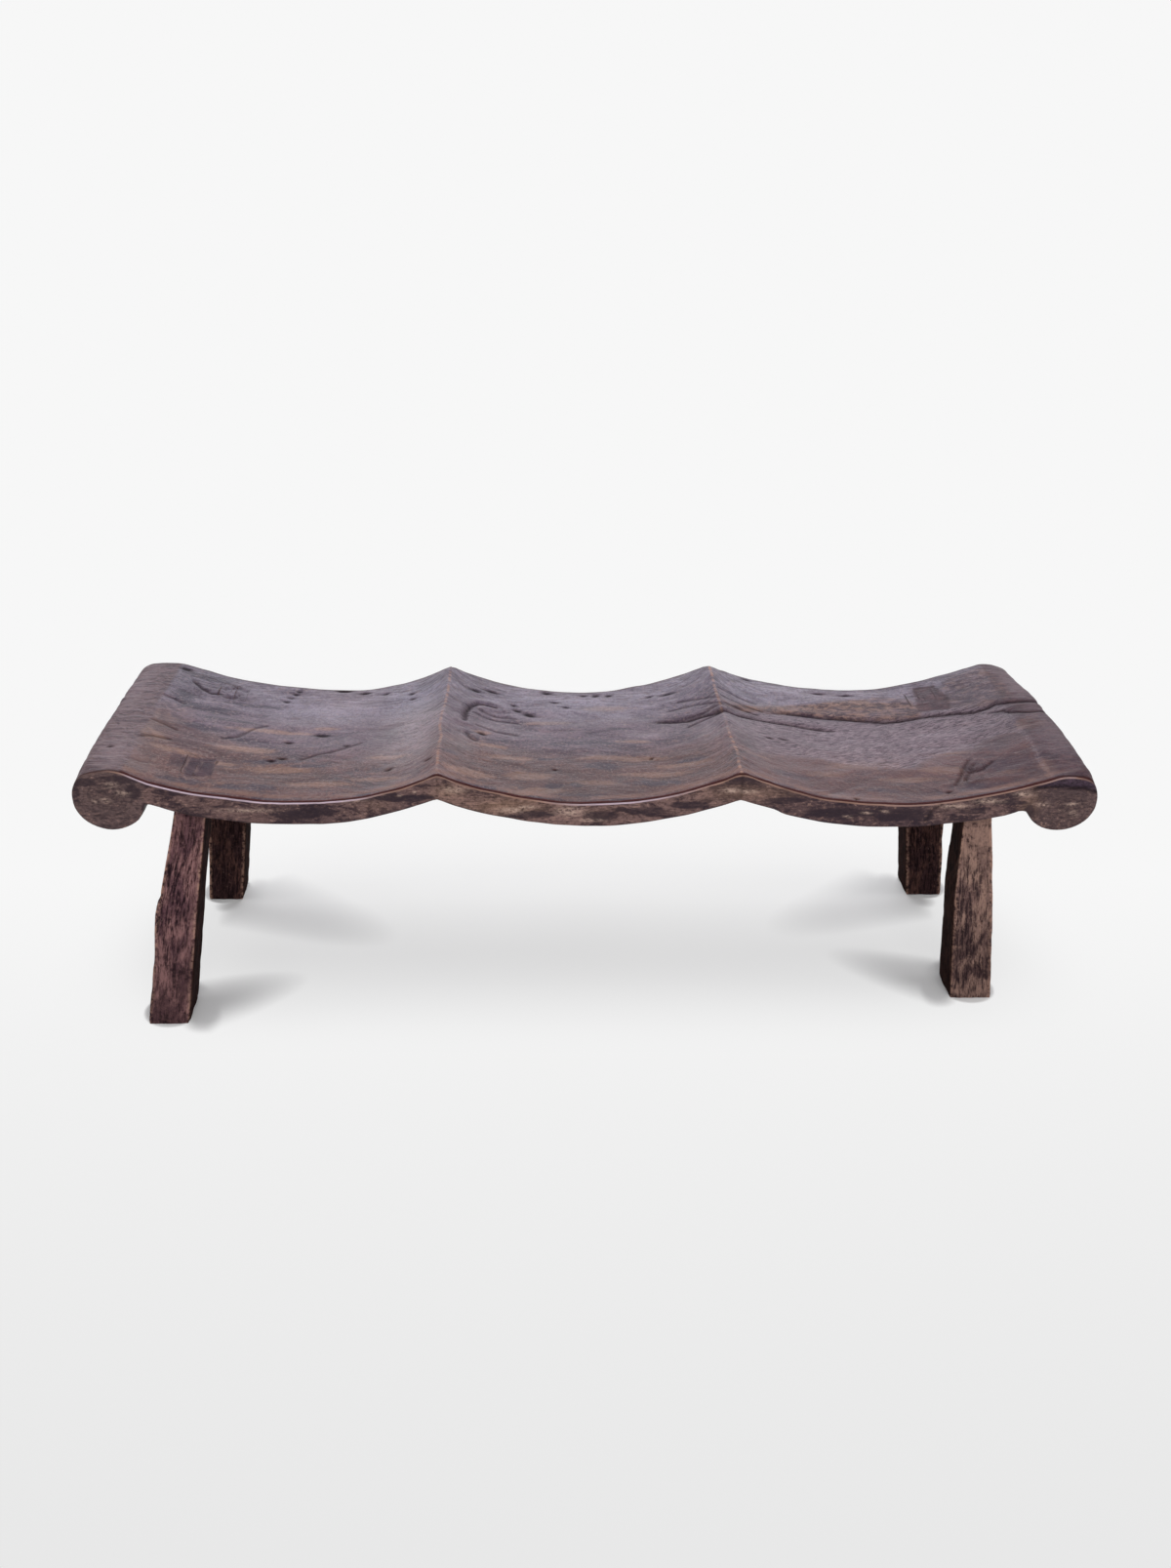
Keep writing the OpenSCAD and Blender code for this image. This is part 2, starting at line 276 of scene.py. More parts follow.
# soft ovals where the whole surface is darker (below 0) or lighter: x, y, half sizes and strength
TONES = [
    (-735, 150, 45, 45, -0.36), (-640, 170, 70, 45, -0.14), (-720, -215, 50, 30, -0.10),
    (-350, 5, 40, 60, -0.30), (-330, -185, 80, 28, -0.20), (-480, -210, 90, 25, -0.12),
    (-560, -150, 130, 60, -0.16), (-25, 90, 110, 20, -0.25), (15, -90, 160, 90, -0.24),
    (30, -195, 120, 38, -0.34), (200, -135, 60, 90, -0.18), (-200, 135, 35, 50, -0.15),
    (730, 140, 40, 70, -0.30), (755, 100, 40, 50, -0.10), (740, -30, 50, 60, -0.20),
    (505, -175, 170, 40, -0.17), (745, -205, 60, 45, -0.30), (285, 45, 25, 60, -0.14),
    (170, 30, 50, 40, -0.10), (360, -10, 70, 50, -0.08), (-435, 165, 60, 40, 0.20),
    (-430, 222, 100, 22, 0.10), (-20, 212, 160, 24, 0.12), (120, 165, 80, 30, 0.08),
    (470, 212, 90, 20, 0.14), (-790, -165, 40, 80, 0.18), (800, -130, 40, 90, 0.08),
    (-590, 15, 50, 30, 0.08), (30, -215, 150, 25, -0.14), (-60, -150, 110, 40, -0.10),
    (620, -215, 90, 22, -0.14), (715, 215, 45, 25, -0.20), (-690, 215, 60, 30, -0.20),
    (-815, 120, 30, 100, 0.16), (815, 150, 30, 90, 0.16), (822, -60, 30, 110, 0.08),
    (-272, -75, 20, 80, 0.14), (-250, -215, 45, 25, 0.20), (-175, 0, 50, 22, 0.10),
    (-45, -5, 55, 20, 0.12), (130, -20, 35, 50, 0.12), (255, -105, 25, 30, 0.22),
    (305, -225, 55, 25, 0.14),
]
# the same on the front face: x, height, half sizes and strength
FACE_TONES = [
    (-225, 440, 28, 14, 0.26), (-130, 414, 65, 16, 0.34), (-345, 416, 30, 12, 0.10),
    (25, 400, 25, 10, 0.14), (270, 438, 80, 16, 0.20), (735, 418, 18, 24, 0.24),
    (-480, 405, 55, 16, -0.26), (-620, 420, 50, 14, -0.10), (150, 410, 30, 12, -0.12),
    (500, 400, 90, 18, -0.16), (400, 410, 40, 14, -0.10), (797, 408, 40, 40, 0.06),
    (-788, 434, 45, 40, 0.04),
]
# painted sheen, a grey reflection laid on the polish: x, y, half sizes and strength
PAINTED_SHEEN = [
    (-470, 110, 90, 55, 0.7), (-300, 30, 58, 190, 1.3), (-292, -150, 50, 46, 0.7),
    (-420, -5, 90, 26, 0.2), (-130, 20, 60, 44, 0.4), (30, 190, 190, 40, 0.6), (90, 110, 100, 26, 0.4),
    (150, 20, 80, 26, 0.4), (-40, 95, 60, 22, 0.4), (320, 170, 50, 60, 0.45), (400, 212, 110, 20, 0.45),
    (325, -10, 60, 80, 0.9), (-215, -60, 30, 90, 0.5), (330, 80, 60, 110, 0.6), (480, -40, 130, 36, 0.6),
    (600, 10, 110, 34, 0.4), (225, -60, 30, 60, 0.5), (300, -150, 26, 50, 0.4),
]
WEDGE_LINES = [[(-677, -164), (-672, -126)], [(-656, -164), (-651, -126)]]
FACE_CUT = [(736, 446), (758, 449), (789, 449), (819, 447), (848, 438)]
FACE_STEP = [(566, 386), (573, 404), (588, 416)]
# on the front face, dark patches and painted shade in the hollows under the rolls' rims: x, height, half
# sizes
FACE_DARK = [
    (-822, 458, 16, 8), (-838, 440, 7, 20), (-770, 466, 44, 5), (745, 452, 16, 6), (812, 455, 30, 7),
    (846, 438, 4, 4), (-812, 456, 12, 6), (-785, 465, 20, 4), (-752, 461, 20, 4), (-742, 440, 14, 12),
    (-727, 412, 6, 10), (-600, 413, 26, 3), (-656, 424, 4, 3), (-480, 397, 44, 9), (-440, 403, 34, 9),
    (-300, 429, 54, 6), (-85, 398, 44, 7), (25, 397, 30, 9), (105, 406, 40, 8), (170, 416, 40, 7),
    (330, 424, 40, 6), (420, 402, 60, 9), (520, 399, 62, 12), (570, 398, 10, 12), (640, 404, 30, 5),
    (735, 404, 7, 12), (790, 452, 40, 5), (700, 421, 30, 4),
]
FACE_PALE = [
    (-777, 453, 9, 3.6), (-770, 452, 3, 2), (-761, 438, 10, 3.2), (-791, 425, 9, 3), (-808, 423, 4, 2),
    (-395, 425, 24, 3), (-305, 434, 3, 2), (-280, 440, 3, 2), (-216, 444, 18, 5), (-121, 407, 20, 5),
    (-95, 412, 16, 3), (-24, 404, 22, 8), (11, 388, 20, 2.5), (241, 443, 14, 4), (268, 441, 16, 3),
    (436, 395, 6, 2), (466, 402, 7, 2), (497, 404, 6, 2), (-560, 406, 40, 3), (611, 414, 22, 3.5),
    (667, 423, 20, 4), (722, 436, 14, 4), (802, 418, 13, 1.6), (798, 404, 13, 1.6), (756, 417, 11, 3),
    (812, 398, 6, 2),
]


def inside(x, y, points, soft):
    """1 inside a closed outline, 0 outside, over a soft border."""
    inner = np.zeros(np.shape(x), bool)
    for (ax, ay), (bx, by) in zip(points, points[1:] + points[:1]):
        crosses = (ay > y) != (by > y)
        inner ^= crosses & (x < (bx - ax) * (y - ay) / (by - ay + 1e-9) + ax)
    d, _ = to_line(x, y, points + points[:1])
    return smooth(-soft, soft, np.where(inner, d, -d))


PROFILE_X = np.linspace(CREST_X[0], CREST_X[1] - 0.01, 800)
PROFILE_Z = plain_z(PROFILE_X)


def band(x):
    """The rough strip of torn fibres between the split and the polished front of the right saddle."""
    return smooth(262, 330, x) * smooth(790, 740, x)


LEAN_LEFT, LEAN_RIDGES, LEAN_RIGHT = 45.0, 95.0, 60.0


def saddle_lean(x):
    """How far a line of the log's grain comes forward as it climbs out of a saddle."""
    low = np.where(x < RIDGE_X[0], LOWS[0][1], np.where(x < RIDGE_X[1], LOWS[1][1], LOWS[2][1]))
    rise = np.maximum(np.interp(x, PROFILE_X, PROFILE_Z) - low, 0)
    most = np.where(x < LOWS[0][0], LEAN_LEFT, np.where(x > LOWS[2][0], LEAN_RIGHT, LEAN_RIDGES))
    return most * (1 - np.exp(-rise / 26))


def ridge_fan(x, y):
    """The fibres' steeper turn beside each ridge, strongest at the back."""
    back = smooth(30, 200, y)
    left = (1.5 + 0.5 * back) * 62 * np.exp(-np.abs(x - RIDGE_X[0]) / 62)
    return left + (1.4 + 0.3 * back) * 62 * np.exp(-np.abs(x - RIDGE_X[1]) / 62)


# what the fibres bow round: x, y and size
KNOTS = ((-668, 168, 34), (-178, 74, 40), (-101, 119, 20), (262, 44, 26), (-480, -30, 24), (540, -40, 40))


def flow(x, y):
    """Distance across the grain for fibres: they bow over saddles and round knots and fan at ridges."""
    across = y + saddle_lean(x) - 0.8 * ridge_fan(x, y) + 11 * N1(x / 210, y / 100, 5.0)
    across = across + 4 * N2(x / 70, y / 38, 6.0)
    for kx, ky, size in KNOTS:
        h = np.hypot((x - kx) / size / 1.8, (y - ky) / size)
        across = across + (y - ky) * 0.7 * np.exp(-(h**2))
    return across


def drift(x, y):
    """Distance across the grain for broad patches, which lie straighter than the fibres."""
    return y + 0.85 * saddle_lean(x) - 0.2 * ridge_fan(x, y) + 8 * N1(x / 210, y / 100, 5.0)


def halo(r):
    return bump(r, 1.0)


def ovals(x, y, table, edge=halo, join=np.maximum):
    """Soft ovals joined into one mask: each row is a middle, two half sizes and, at times, a strength."""
    total = np.zeros(np.shape(x))
    for px, py, a, b, *level in table:
        total = join(total, (*level, 1.0)[0] * edge(np.hypot((x - px) / a, (y - py) / b)))
    return total


def areas(x, y, table, soft):
    """The strongest of some outlines at each point: each row is an outline and its strength."""
    return np.maximum.reduce([level * inside(x, y, points, soft) for points, level in table])


def pits(x, y):
    """How deep each small pit is at a point, 0 to 1, one pit after another."""
    for px, py, a, b in PITS:
        wide = b + b * 0.2 * smooth(40, 150, py)
        yield bump(np.hypot((x - px) / a, (y - py) / wide), 0.9)


def bands(x, across, table):
    """Strength at each point of soft bands that lie along the grain."""
    total = np.zeros(np.shape(x))
    for bx, by, a, b in table:
        middle = drift(np.array([bx * 1.0]), np.array([by * 1.0]))[0]
        total = np.maximum(total, smooth(1.5, 0.35, np.hypot((x - bx) / a, (across - middle) / b)))
    return total


def top_relief(x, y):
    """How far the worn top stands proud of the plain saddles, in mm."""
    across = flow(x, y)
    d = 2.1 * fbm(N1, x / 150, y / 80, octaves=2)
    d = d + 1.0 * N2(x / 62, across / 34, 4.0) + 0.45 * N3(x / 28, across / 15, 1.5)
    # short rows of tool marks up both sides of the ridges, and on the rough back edge
    near = sum(bump(x - r, 70) for r in RIDGE_X)
    strip = band(x) * smooth(-110, -70, y) * smooth(120, 90, y)
    rough = np.clip(near + 0.6 * smooth(120, 210, y) + 0.25 * strip, 0, 1.2)
    d = d + rough * 0.8 * N4(across / 10.5, x / 60, 2.0)
    # the rolls are chopped in rows of shallow lumps, deepest at the back left
    roll = np.maximum(smooth(-752, -792, x), smooth(762, 800, x))
    left = smooth(-700, -800, x)
    deep = 0.45 + 0.55 * left + 1.3 * left * smooth(-40, 110, y)
    d = d + roll * deep * (1.1 * N2(x / 46, y / 20, 9.0) + 0.6 * N3(x / 24, y / 9.5, 3.0))
    # the dark check through the right ridge
    dist, _ = to_line(x, y, CHECK)
    d = d - smooth(125, 175, x) * smooth(490, 440, x) * (3.0 * bump(dist, 5.5) + 1.2 * bump(dist, 17.0))
    d = d - 1.3 * trace(x, y, CHECK_MID, 5.0)
    # the split along the right saddle: its back edge stands proud and rolls down into it
    dist, side = to_line(x, y, SPLIT)
    run = smooth(315, 390, x)
    back_edge = 1.7 * smooth(0, 16, dist) * np.exp(-dist / 60)
    d = d + run * np.where(side > 0, back_edge, -1.1 * np.exp(-dist / 22))
    d = d - run * 2.2 * bump(dist, 4.2)
    d = d - smooth(736, 770, x) * 2.0 * trace(x, y, FORK, 5.0)
    d = d + smooth(752, 775, x) * 1.6 * trace(x, y, LIP, 6.0)
    # the polished front field lies a little above the torn strip behind it
    dist, side = to_line(x, y, LEDGE)
    front = np.where(side < 0, 1.0, -1.0) * smooth(0, 6, dist)
    d = d + smooth(255, 300, x) * smooth(756, 738, x) * 0.7 * front * np.exp(-dist / 60)
    # a scooped hollow round a knot
    dist, _ = to_line(x, y, GOUGE)
    d = d - 3.2 * bump(dist, 5.0) + 1.8 * bump(dist - 13, 8)
    d = d - 2.0 * bump(np.hypot((x + 160) / 36, (y - 66) / 44), 1.0)
    dist, _ = to_line(x, y, GOUGE_FRONT)
    d = d - 1.8 * bump(dist, 6.0) + 0.9 * bump(dist - 11, 7)
    dist = np.minimum(to_line(x, y, EYE)[0], to_line(x, y, EYE_TAIL)[0])
    d = d - 1.6 * bump(dist, 3.8) + 0.8 * bump(dist - 9, 6)
    for line in SCRAPES:
        d = d - trace(x, y, line, 3.8)
    for pit in pits(x, y):
        d = d - 2.2 * pit
    # arrises nicked and worn down along both ridges, with a dip where the check crosses
    nick = np.maximum(np.sin(y / 2.6 + 2.0 * N1(y / 40, 2.0)), -0.3)
    d = d - bump(x - RIDGE_X[0], 6.0) * (0.9 + 0.55 * nick + 0.5 * N2(y / 30, 8.0))
    nick = np.maximum(N3(y / 9, 6.0), -0.2)
    d = d - bump(x - RIDGE_X[1], 6.0) * (1.1 + 0.9 * nick + 0.8 * N2(y / 34, 9.0))
    d = d - bump(x - 257, 26) * 3.4 * bump(y - 40, 15)
    d = d - bump(x - 262, 12) * 1.5 * smooth(-10, -50, y) * smooth(-190, -110, y)
    return d


# along the seat: how far the top's front edge sags, its back edge rises and the underside's front edge lifts
SAG_X = [-846, -800, -760, -719, -650, -560, -480, -420, 300, 380, 460, 620, 700, 780, 846]
SAG = [4, 4, 3, 7, 7, 3, 1, 0, 0, 3, 4, 4, 6, 8, 7]
RISE_X = [
    -846, -796, -740, -640, -520, -430, -340, -296, -251, -206, -60, 22, 100, 200, 245, 280, 340, 430, 520,
    610, 700, 748, 793, 846,
]
RISE = [2, 5, 5, 5, 4, 2.5, 2.5, 1.5, 4, 2.5, 2, 0.5, 3, 5, 6, 3, 3, 6, 6, 4, 6, 7, 4, 0]
BELLY_X = [
    -745, -728, -705, -680, -650, -560, -500, -440, -400, -360, -320, -280, -245, -215, -120, 0, 60, 200,
    315, 330, 480, 580, 660, 695, 718, 740,
]
BELLY = [
    0, -9, -7, -3, 0, 4, 3, 2.5, 0.5, -0.5, -2.5, -2.5, 0.5, 2.5, 1, 3, 2.5, 1.5, 1.5, 5.5, 5.5, 4, 1, 0,
    -5, -1,
]
# how the torn strip's fibres climb to the right
FRAY_X, FRAY = [262, 380, 500, 650, 760], [0, 8, 40, 105, 125]
# x, height, how far each roll bulges there, and the y where that starts
SHOULDER = ((-832.0, 468.0, 8.0, -241.0), (832.0, 463.0, 14.5, -254.0))


def end_sag(x, y):
    """The end saddles lie lower at the front edge, and the back edge rises a few millimetres."""
    return np.interp(x, RISE_X, RISE) * smooth(60, 236, y) - np.interp(x, SAG_X, SAG) * smooth(-60, -236, y)


def belly_sag(x, y, z):
    """The front of the underside hangs and lifts by a few millimetres."""
    slab = np.maximum(smooth(705, 690, np.abs(x)), smooth(388, 402, z))
    return -np.interp(x, BELLY_X, BELLY) * smooth(-60, -236, y) * slab


def bulge(x, y, z):
    """How far the rolls stand proud of a straight log halfway along them."""
    total = 0.0
    for sx, sz, most, first in SHOULDER:
        total = total + most * bump(np.hypot(x - sx, z - sz), 26) * smooth(first, first + 46, y)
    return total * smooth(236, 60, y)


# Outline of the slab, as matched columns
def outline():
    """Two polylines of matched points, along the top and along the underside, from left to right."""
    t = np.radians(np.arange(180.0, -0.1, -0.8))
    xs = np.arange(CREST_X[0], CREST_X[1], 1.0)
    belly = scallops(xs, SLAB_T, PEAK_T)

    def roll(end, up):
        """The upper or lower half of a roll, flattened on top to the crown."""
        r = ROLL_W[end] / 2
        x, z = ROLL_X[end] + r * np.cos(t), CROWN_H[end] - ROLL_H[end] + r + up * (r * np.sin(t))
        return x, np.minimum(z, crown_z(end, x)) if up > 0 else z

    def chain(*parts):
        """Joins the kept points of each part into one line."""
        return resample(np.concatenate([np.stack([x[keep], z[keep]], 1) for x, z, keep in parts]), 1.0)

    (lx, lz), (rx, rz) = roll(0, 1), roll(1, 1)
    top = chain((lx, lz, lx < CREST_X[0]), (xs, plain_z(xs), slice(None)), (rx, rz, rx > CREST_X[1]))
    (lx, lz), (rx, rz) = roll(0, -1), roll(1, -1)
    keep_l = lz < np.interp(lx, xs, belly, left=1e3)
    keep_r = rz < np.interp(rx, xs, belly, right=1e3)
    first, last = lx[keep_l].max(), rx[keep_r].min()
    under = chain((lx, lz, keep_l), (xs, belly, (xs > first) & (xs < last)), (rx, rz, keep_r))
    return top, under, first, last


def lengths(line):
    """How far along a line each of its points lies."""
    return np.concatenate([[0], np.cumsum(np.hypot(*np.diff(line, axis=0).T))])


def along(line, s, q):
    """Points of a line at the lengths q."""
    return np.stack([np.interp(q, s, line[:, 0]), np.interp(q, s, line[:, 1])], 1)


def resample(points, step):
    s = lengths(points)
    return along(points, s, np.linspace(0, s[-1], max(2, int(round(s[-1] / step))) + 1))


def relax(loop, weight, rounds):
    """Smooths a closed loop of points, each by its own weight."""
    for _ in range(rounds):
        mid = (np.roll(loop, 1, 0) + np.roll(loop, -1, 0)) / 2
        loop = loop + (mid - loop) * weight[:, None]
    return loop


top_line, under_line, notch_l, notch_r = outline()
n_top = len(top_line)
loop = np.concatenate([top_line, under_line[-2:0:-1]])
is_top = np.arange(len(loop)) < n_top
amount = np.full(len(loop), 0.10)
for end, sign in ((0, -1), (1, 1)):
    corner = np.hypot(loop[:, 0] - (ROLL_X[end] + sign * 49), loop[:, 1] - 467) < 30
    amount[corner & is_top] = 1.0
    crest = (np.abs(loop[:, 0] - CREST_X[end]) < 22) & is_top
    amount[crest] = 0.55
loop = relax(loop, amount, 90)
top_line = loop[:n_top]
under_line = np.concatenate([loop[:1], loop[n_top:][::-1], loop[n_top - 1:n_top]])


def columns(step):
    """Top and underside points in matched pairs, spaced about evenly between matching stations."""
    stations = [notch_l, LOWS[0][0], RIDGE_X[0], LOWS[1][0], RIDGE_X[1], LOWS[2][0], notch_r]

    def measure(line):
        s = lengths(line)
        marks = [0.0]
        # near a notch the underside passes the same x more than once, so its height counts too
        off_height = np.abs(line[:, 1] - 415) * 0.2 if line is under_line else 0
        for x in stations:
            marks.append(s[np.argmin(np.abs(line[:, 0] - x) + off_height)])
        return s, marks + [s[-1]]

    s_top, m_top = measure(top_line)
    s_und, m_und = measure(under_line)
    tops, unders = [], []
    for a, b, c, d in zip(m_top[:-1], m_top[1:], m_und[:-1], m_und[1:]):
        n = 2 * max(1, int(round((b - a) / step / 2)))
        q = np.linspace(0, 1, n + 1)[:-1]
        tops.append(a + (b - a) * q)
        unders.append(c + (d - c) * q)
    tops = np.concatenate(tops + [[s_top[-1]]])
    unders = np.concatenate(unders + [[s_und[-1]]])

    def at(line, s, q):
        t = along(line, s, q + 1.5) - along(line, s, q - 1.5)
        t /= np.linalg.norm(t, axis=1)[:, None]
        return along(line, s, q), np.stack([-t[:, 1], t[:, 0]], 1)

    p, n = at(top_line, s_top, tops)
    pu, nu = at(under_line, s_und, unders)
    nu = -nu
    for arr in (n, nu):
        arr[0], arr[-1] = (-1, 0), (1, 0)
    return p, n, pu, nu


def line_z(x):
    return np.interp(x, top_line[:, 0], top_line[:, 1])


def surface_z(x, y):
    """Height of the sculpted top at x, y, both from the seat's middle, in mm."""
    x, y = np.asarray(x, float), np.asarray(y, float)
    slope = (line_z(x + 1) - line_z(x - 1)) / 2
    return line_z(x) + top_relief(x, y) * np.sqrt(1 + slope**2) + end_sag(x, y)


# Mesh helpers
def make_mesh(name, verts, faces, attrs=None):
    """verts in mm; faces lists of indices; attrs maps a name to one value or vector per vertex."""
    verts = np.asarray(verts, float)
    used = np.unique(np.concatenate([np.asarray(f, int).ravel() for f in faces]))
    new = np.full(len(verts), -1)
    new[used] = np.arange(len(used))
    me = bpy.data.meshes.new(name)
    all_faces = []
    for f in faces:
        all_faces += new[np.asarray(f, int)].tolist()
    me.from_pydata((verts[used] * MM).tolist(), [], all_faces)
    for key, values in (attrs or {}).items():
        values = np.asarray(values, np.float32)[used]
        kind = "FLOAT_VECTOR" if values.ndim == 2 else "FLOAT"
        a = me.attributes.new(key, kind, "POINT")
        a.data.foreach_set("vector" if values.ndim == 2 else "value", values.ravel())
    me.validate()
    me.update()
    ob = bpy.data.objects.new(name, me)
    bpy.context.scene.collection.objects.link(ob)
    return ob


def shade_smooth(ob):
    """Smooth shading over the hewn surface, with crisp edges where one piece is let into another."""
    ob.data.polygons.foreach_set("use_smooth", [True] * len(ob.data.polygons))
    ob.data.set_sharp_from_angle(angle=math.radians(50))


def cut(ob, cutter):
    """Cuts cutter out of ob and removes it."""
    m = ob.modifiers.new("cut", "BOOLEAN")
    m.operation, m.object, m.solver = "DIFFERENCE", cutter, "EXACT"
    bpy.context.view_layer.update()
    dg = bpy.context.evaluated_depsgraph_get()
    made = bpy.data.meshes.new_from_object(ob.evaluated_get(dg), preserve_all_data_layers=True, depsgraph=dg)
    ob.modifiers.clear()
    old = ob.data
    ob.data = made
    made.name = old.name
    bpy.data.meshes.remove(old)
    gone = cutter.data
    bpy.data.objects.remove(cutter)
    bpy.data.meshes.remove(gone)


# The seat
# distance between the mesh's vertices in mm, and rows of faces up each long side
STEP, FACE_ROWS = 3.7, 18


def build_seat():
    """Vertices in mm and faces of the whole seat, one closed mesh."""
    rows = FACE_ROWS
    p, n, pu, nu = columns(STEP)
    nx = len(p) - 1
    ny = 2 * int(round((SEAT_D - 12) / STEP / 2))
    inner = np.linspace(-HALF_D, HALF_D, ny + 1)[1:-1]
    phis = np.radians([90.0, 58.0, 26.0])

    def sheet(pts, nrm, top):
        """Grid of positions for the top or the underside, with both long edges rounded over."""
        x0 = pts[:, 0]
        r_top = 3.6 + 1.6 * N2(x0 / 70, 3.0) + 2.2 * smooth(500, 700, np.abs(x0))
        r = r_top if top else 2.6 + 0.8 * N3(x0 / 60, 9.0)
        r = np.maximum(r, 1.8)
        mix = smooth(0, 60, np.minimum(x0 + SEAT_L / 2, SEAT_L / 2 - x0))
        r = 3.4 + (r - 3.4) * mix
        edge = [(r * (1 - math.sin(phi)), r * (1 - math.cos(phi))) for phi in phis]
        lo, hi = r - HALF_D, HALF_D - r
        ys = [out - HALF_D for out, _ in edge]
        ys += [lo + (hi - lo) * ((y + HALF_D) / SEAT_D) for y in inner]
        ys += [HALF_D - out for out, _ in edge[::-1]]
        insets = [down for _, down in edge]
        y = np.stack(ys, 1)
        inset = np.stack(insets + [0 * r] * len(inner) + insets[::-1], 1)
        x = np.repeat(x0[:, None], y.shape[1], 1)
        z = np.repeat(pts[:, 1][:, None], y.shape[1], 1)
        if top:
            d = top_relief(x, y) + bulge(x, y, z)
        else:
            d = 1.2 * fbm(N3, x / 90, y / 45, 5.0, octaves=2) + 0.5 * N2(x / 35, y / 18, 7.0)
        # the end columns belong to both sheets
        both = 0.9 * fbm(N1, x / 60, y / 38, z / 60, octaves=2)
        w = smooth(0, 26, np.minimum(x + SEAT_L / 2, SEAT_L / 2 - x))
        d = both * (1 - w) + d * w - inset
        px = x + nrm[:, 0][:, None] * d
        pz = z + nrm[:, 1][:, None] * d
        pz = pz + end_sag(px, y) * smooth(340, 440, pz)
        if not top:
            pz = pz + belly_sag(px, y, pz)
        px = px + ridge_walk(x, y)
        return np.stack([px, y, pz], 2)

    top = sheet(p, n, True)
    und = sheet(pu, nu, False)
    und[0], und[-1] = top[0], top[-1]
    ny = top.shape[1] - 1
    if ny % 2:
        raise SystemExit("rows must be even")
    count = (nx + 1) * (ny + 1)
    it = np.arange(count).reshape(nx + 1, ny + 1)
    iu = it + count
    iu[0], iu[-1] = it[0], it[-1]
    verts = [top.reshape(-1, 3), und.reshape(-1, 3)]
    faces = [np.stack([it[:-1, :-1], it[1:, :-1], it[1:, 1:], it[:-1, 1:]], -1).reshape(-1, 4)]
    # underside at half the density, with the fine edges kept
    for i in range(0, nx, 2):
        for j in range(0, ny, 2):
            ring = [iu[i, j]]
            if i == 0:
                ring.append(iu[0, j + 1])
            ring.append(iu[i, j + 2])
            if j + 2 == ny:
                ring.append(iu[i + 1, ny])
            ring.append(iu[i + 2, j + 2])
            if i + 2 == nx:
                ring.append(iu[nx, j + 1])
            ring.append(iu[i + 2, j])
            if j == 0:
                ring.append(iu[i + 1, 0])
            faces.append(np.array([ring]))
    # the two long faces
    base = 2 * count
    for side, j in ((-1, 0), (1, ny)):
        grid = np.zeros((nx + 1, rows + 1), int)
        grid[:, 0], grid[:, rows] = it[:, j], iu[:, j]
        mids = []
        for k in range(1, rows):
            t = k / rows
            q = top[:, j] * (1 - t) + und[:, j] * t
            fade = min(1.0, 2.5 * min(t, 1 - t))
            relief = 0.8 * fbm(N2, q[:, 0] / 34, q[:, 2] / 13, 3.0 * side, octaves=2) - 0.2
            roll = smooth(715, 735, np.abs(q[:, 0]))
            relief = relief + roll * 0.7 * N3(q[:, 0] / 18, q[:, 2] / 18, side)
            q[:, 1] += side * np.minimum(relief, 0.6) * fade
            mids.append(q)
            grid[:, k] = base + (k - 1) * (nx + 1) + np.arange(nx + 1)
        grid[0, :], grid[-1, :] = it[0, j], it[-1, j]
        verts.append(np.concatenate(mids))
        base += (rows - 1) * (nx + 1)
        a, b, c, d = grid[:-1, :-1], grid[:-1, 1:], grid[1:, 1:], grid[1:, :-1]
        quads = np.stack([a, b, c, d], -1)
        if side > 0:
            quads = quads[..., ::-1]
        quads = quads.reshape(-1, rows, 4)
        faces.append(quads[1:-1].reshape(-1, 4))
        for cells in (quads[0], quads[-1]):
            for cell in cells:
                ring = [v for m, v in enumerate(cell) if v != cell[m - 1]]
                if len(ring) > 2:
                    faces.append(np.array([ring]))
    return np.concatenate(verts), faces


# from front to back: how far each ridge wanders, and how bare the right one's wood is
WALK_RIGHT_Y = [-244, -194, -145, -112, -74, -31, 10, 50, 80, 133, 192, 242]
WALK_RIGHT = [0, 0, 5, 4, 1, 2, 3, 3, 2, 1, 2, 2]
WALK_LEFT_Y = [-238, -167, -120, -77, -36, 13, 59, 114, 171, 228]
WALK_LEFT = [-1, -2, -3, 0, -5, -4, 0, 3, 4, 4]
CREST_Y = [-240, -185, -165, -145, -80, -50, 30, 60, 150, 220]
CREST = [1, 0.8, 0.2, 0.9, 1, 0.3, 0.1, 0.6, 0.5, 0.9]


def ridge_walk(x, y):
    """How far each ridge wanders from a straight line."""
    right, left = np.interp(y, WALK_RIGHT_Y, WALK_RIGHT), np.interp(y, WALK_LEFT_Y, WALK_LEFT)
    return bump(x - RIDGE_X[1], 45) * right + bump(x - RIDGE_X[0], 45) * left


# along the front face: how much darker it is, and how bright the painted highlight along its rim is
DARKENING_X = [-846, -700, -540, -500, -440, -390, -300, -245, -200, 200, 257, 330, 400, 560, 590, 700, 760, 846]
DARKENING = [0.05, 0.3, 0.35, 0.8, 0.8, 0.35, 0.6, 0.2, 0.0, 0.0, 0.3, 0.8, 1.0, 1.0, 0.5, 0.45, 0.6, 0.3]
GLINT_X = [
    -846, -790, -750, -700, -560, -430, -350, -243, -90, -50, 60, 200, 257, 400, 520, 700, 800, 825, 846,
]
GLINT = [0.0, 0.1, 0.7, 1.0, 1.0, 1.0, 0.6, 0.3, 0.45, 0.6, 0.85, 0.55, 0.4, 0.4, 0.55, 0.5, 0.6, 0.2, 0.0]


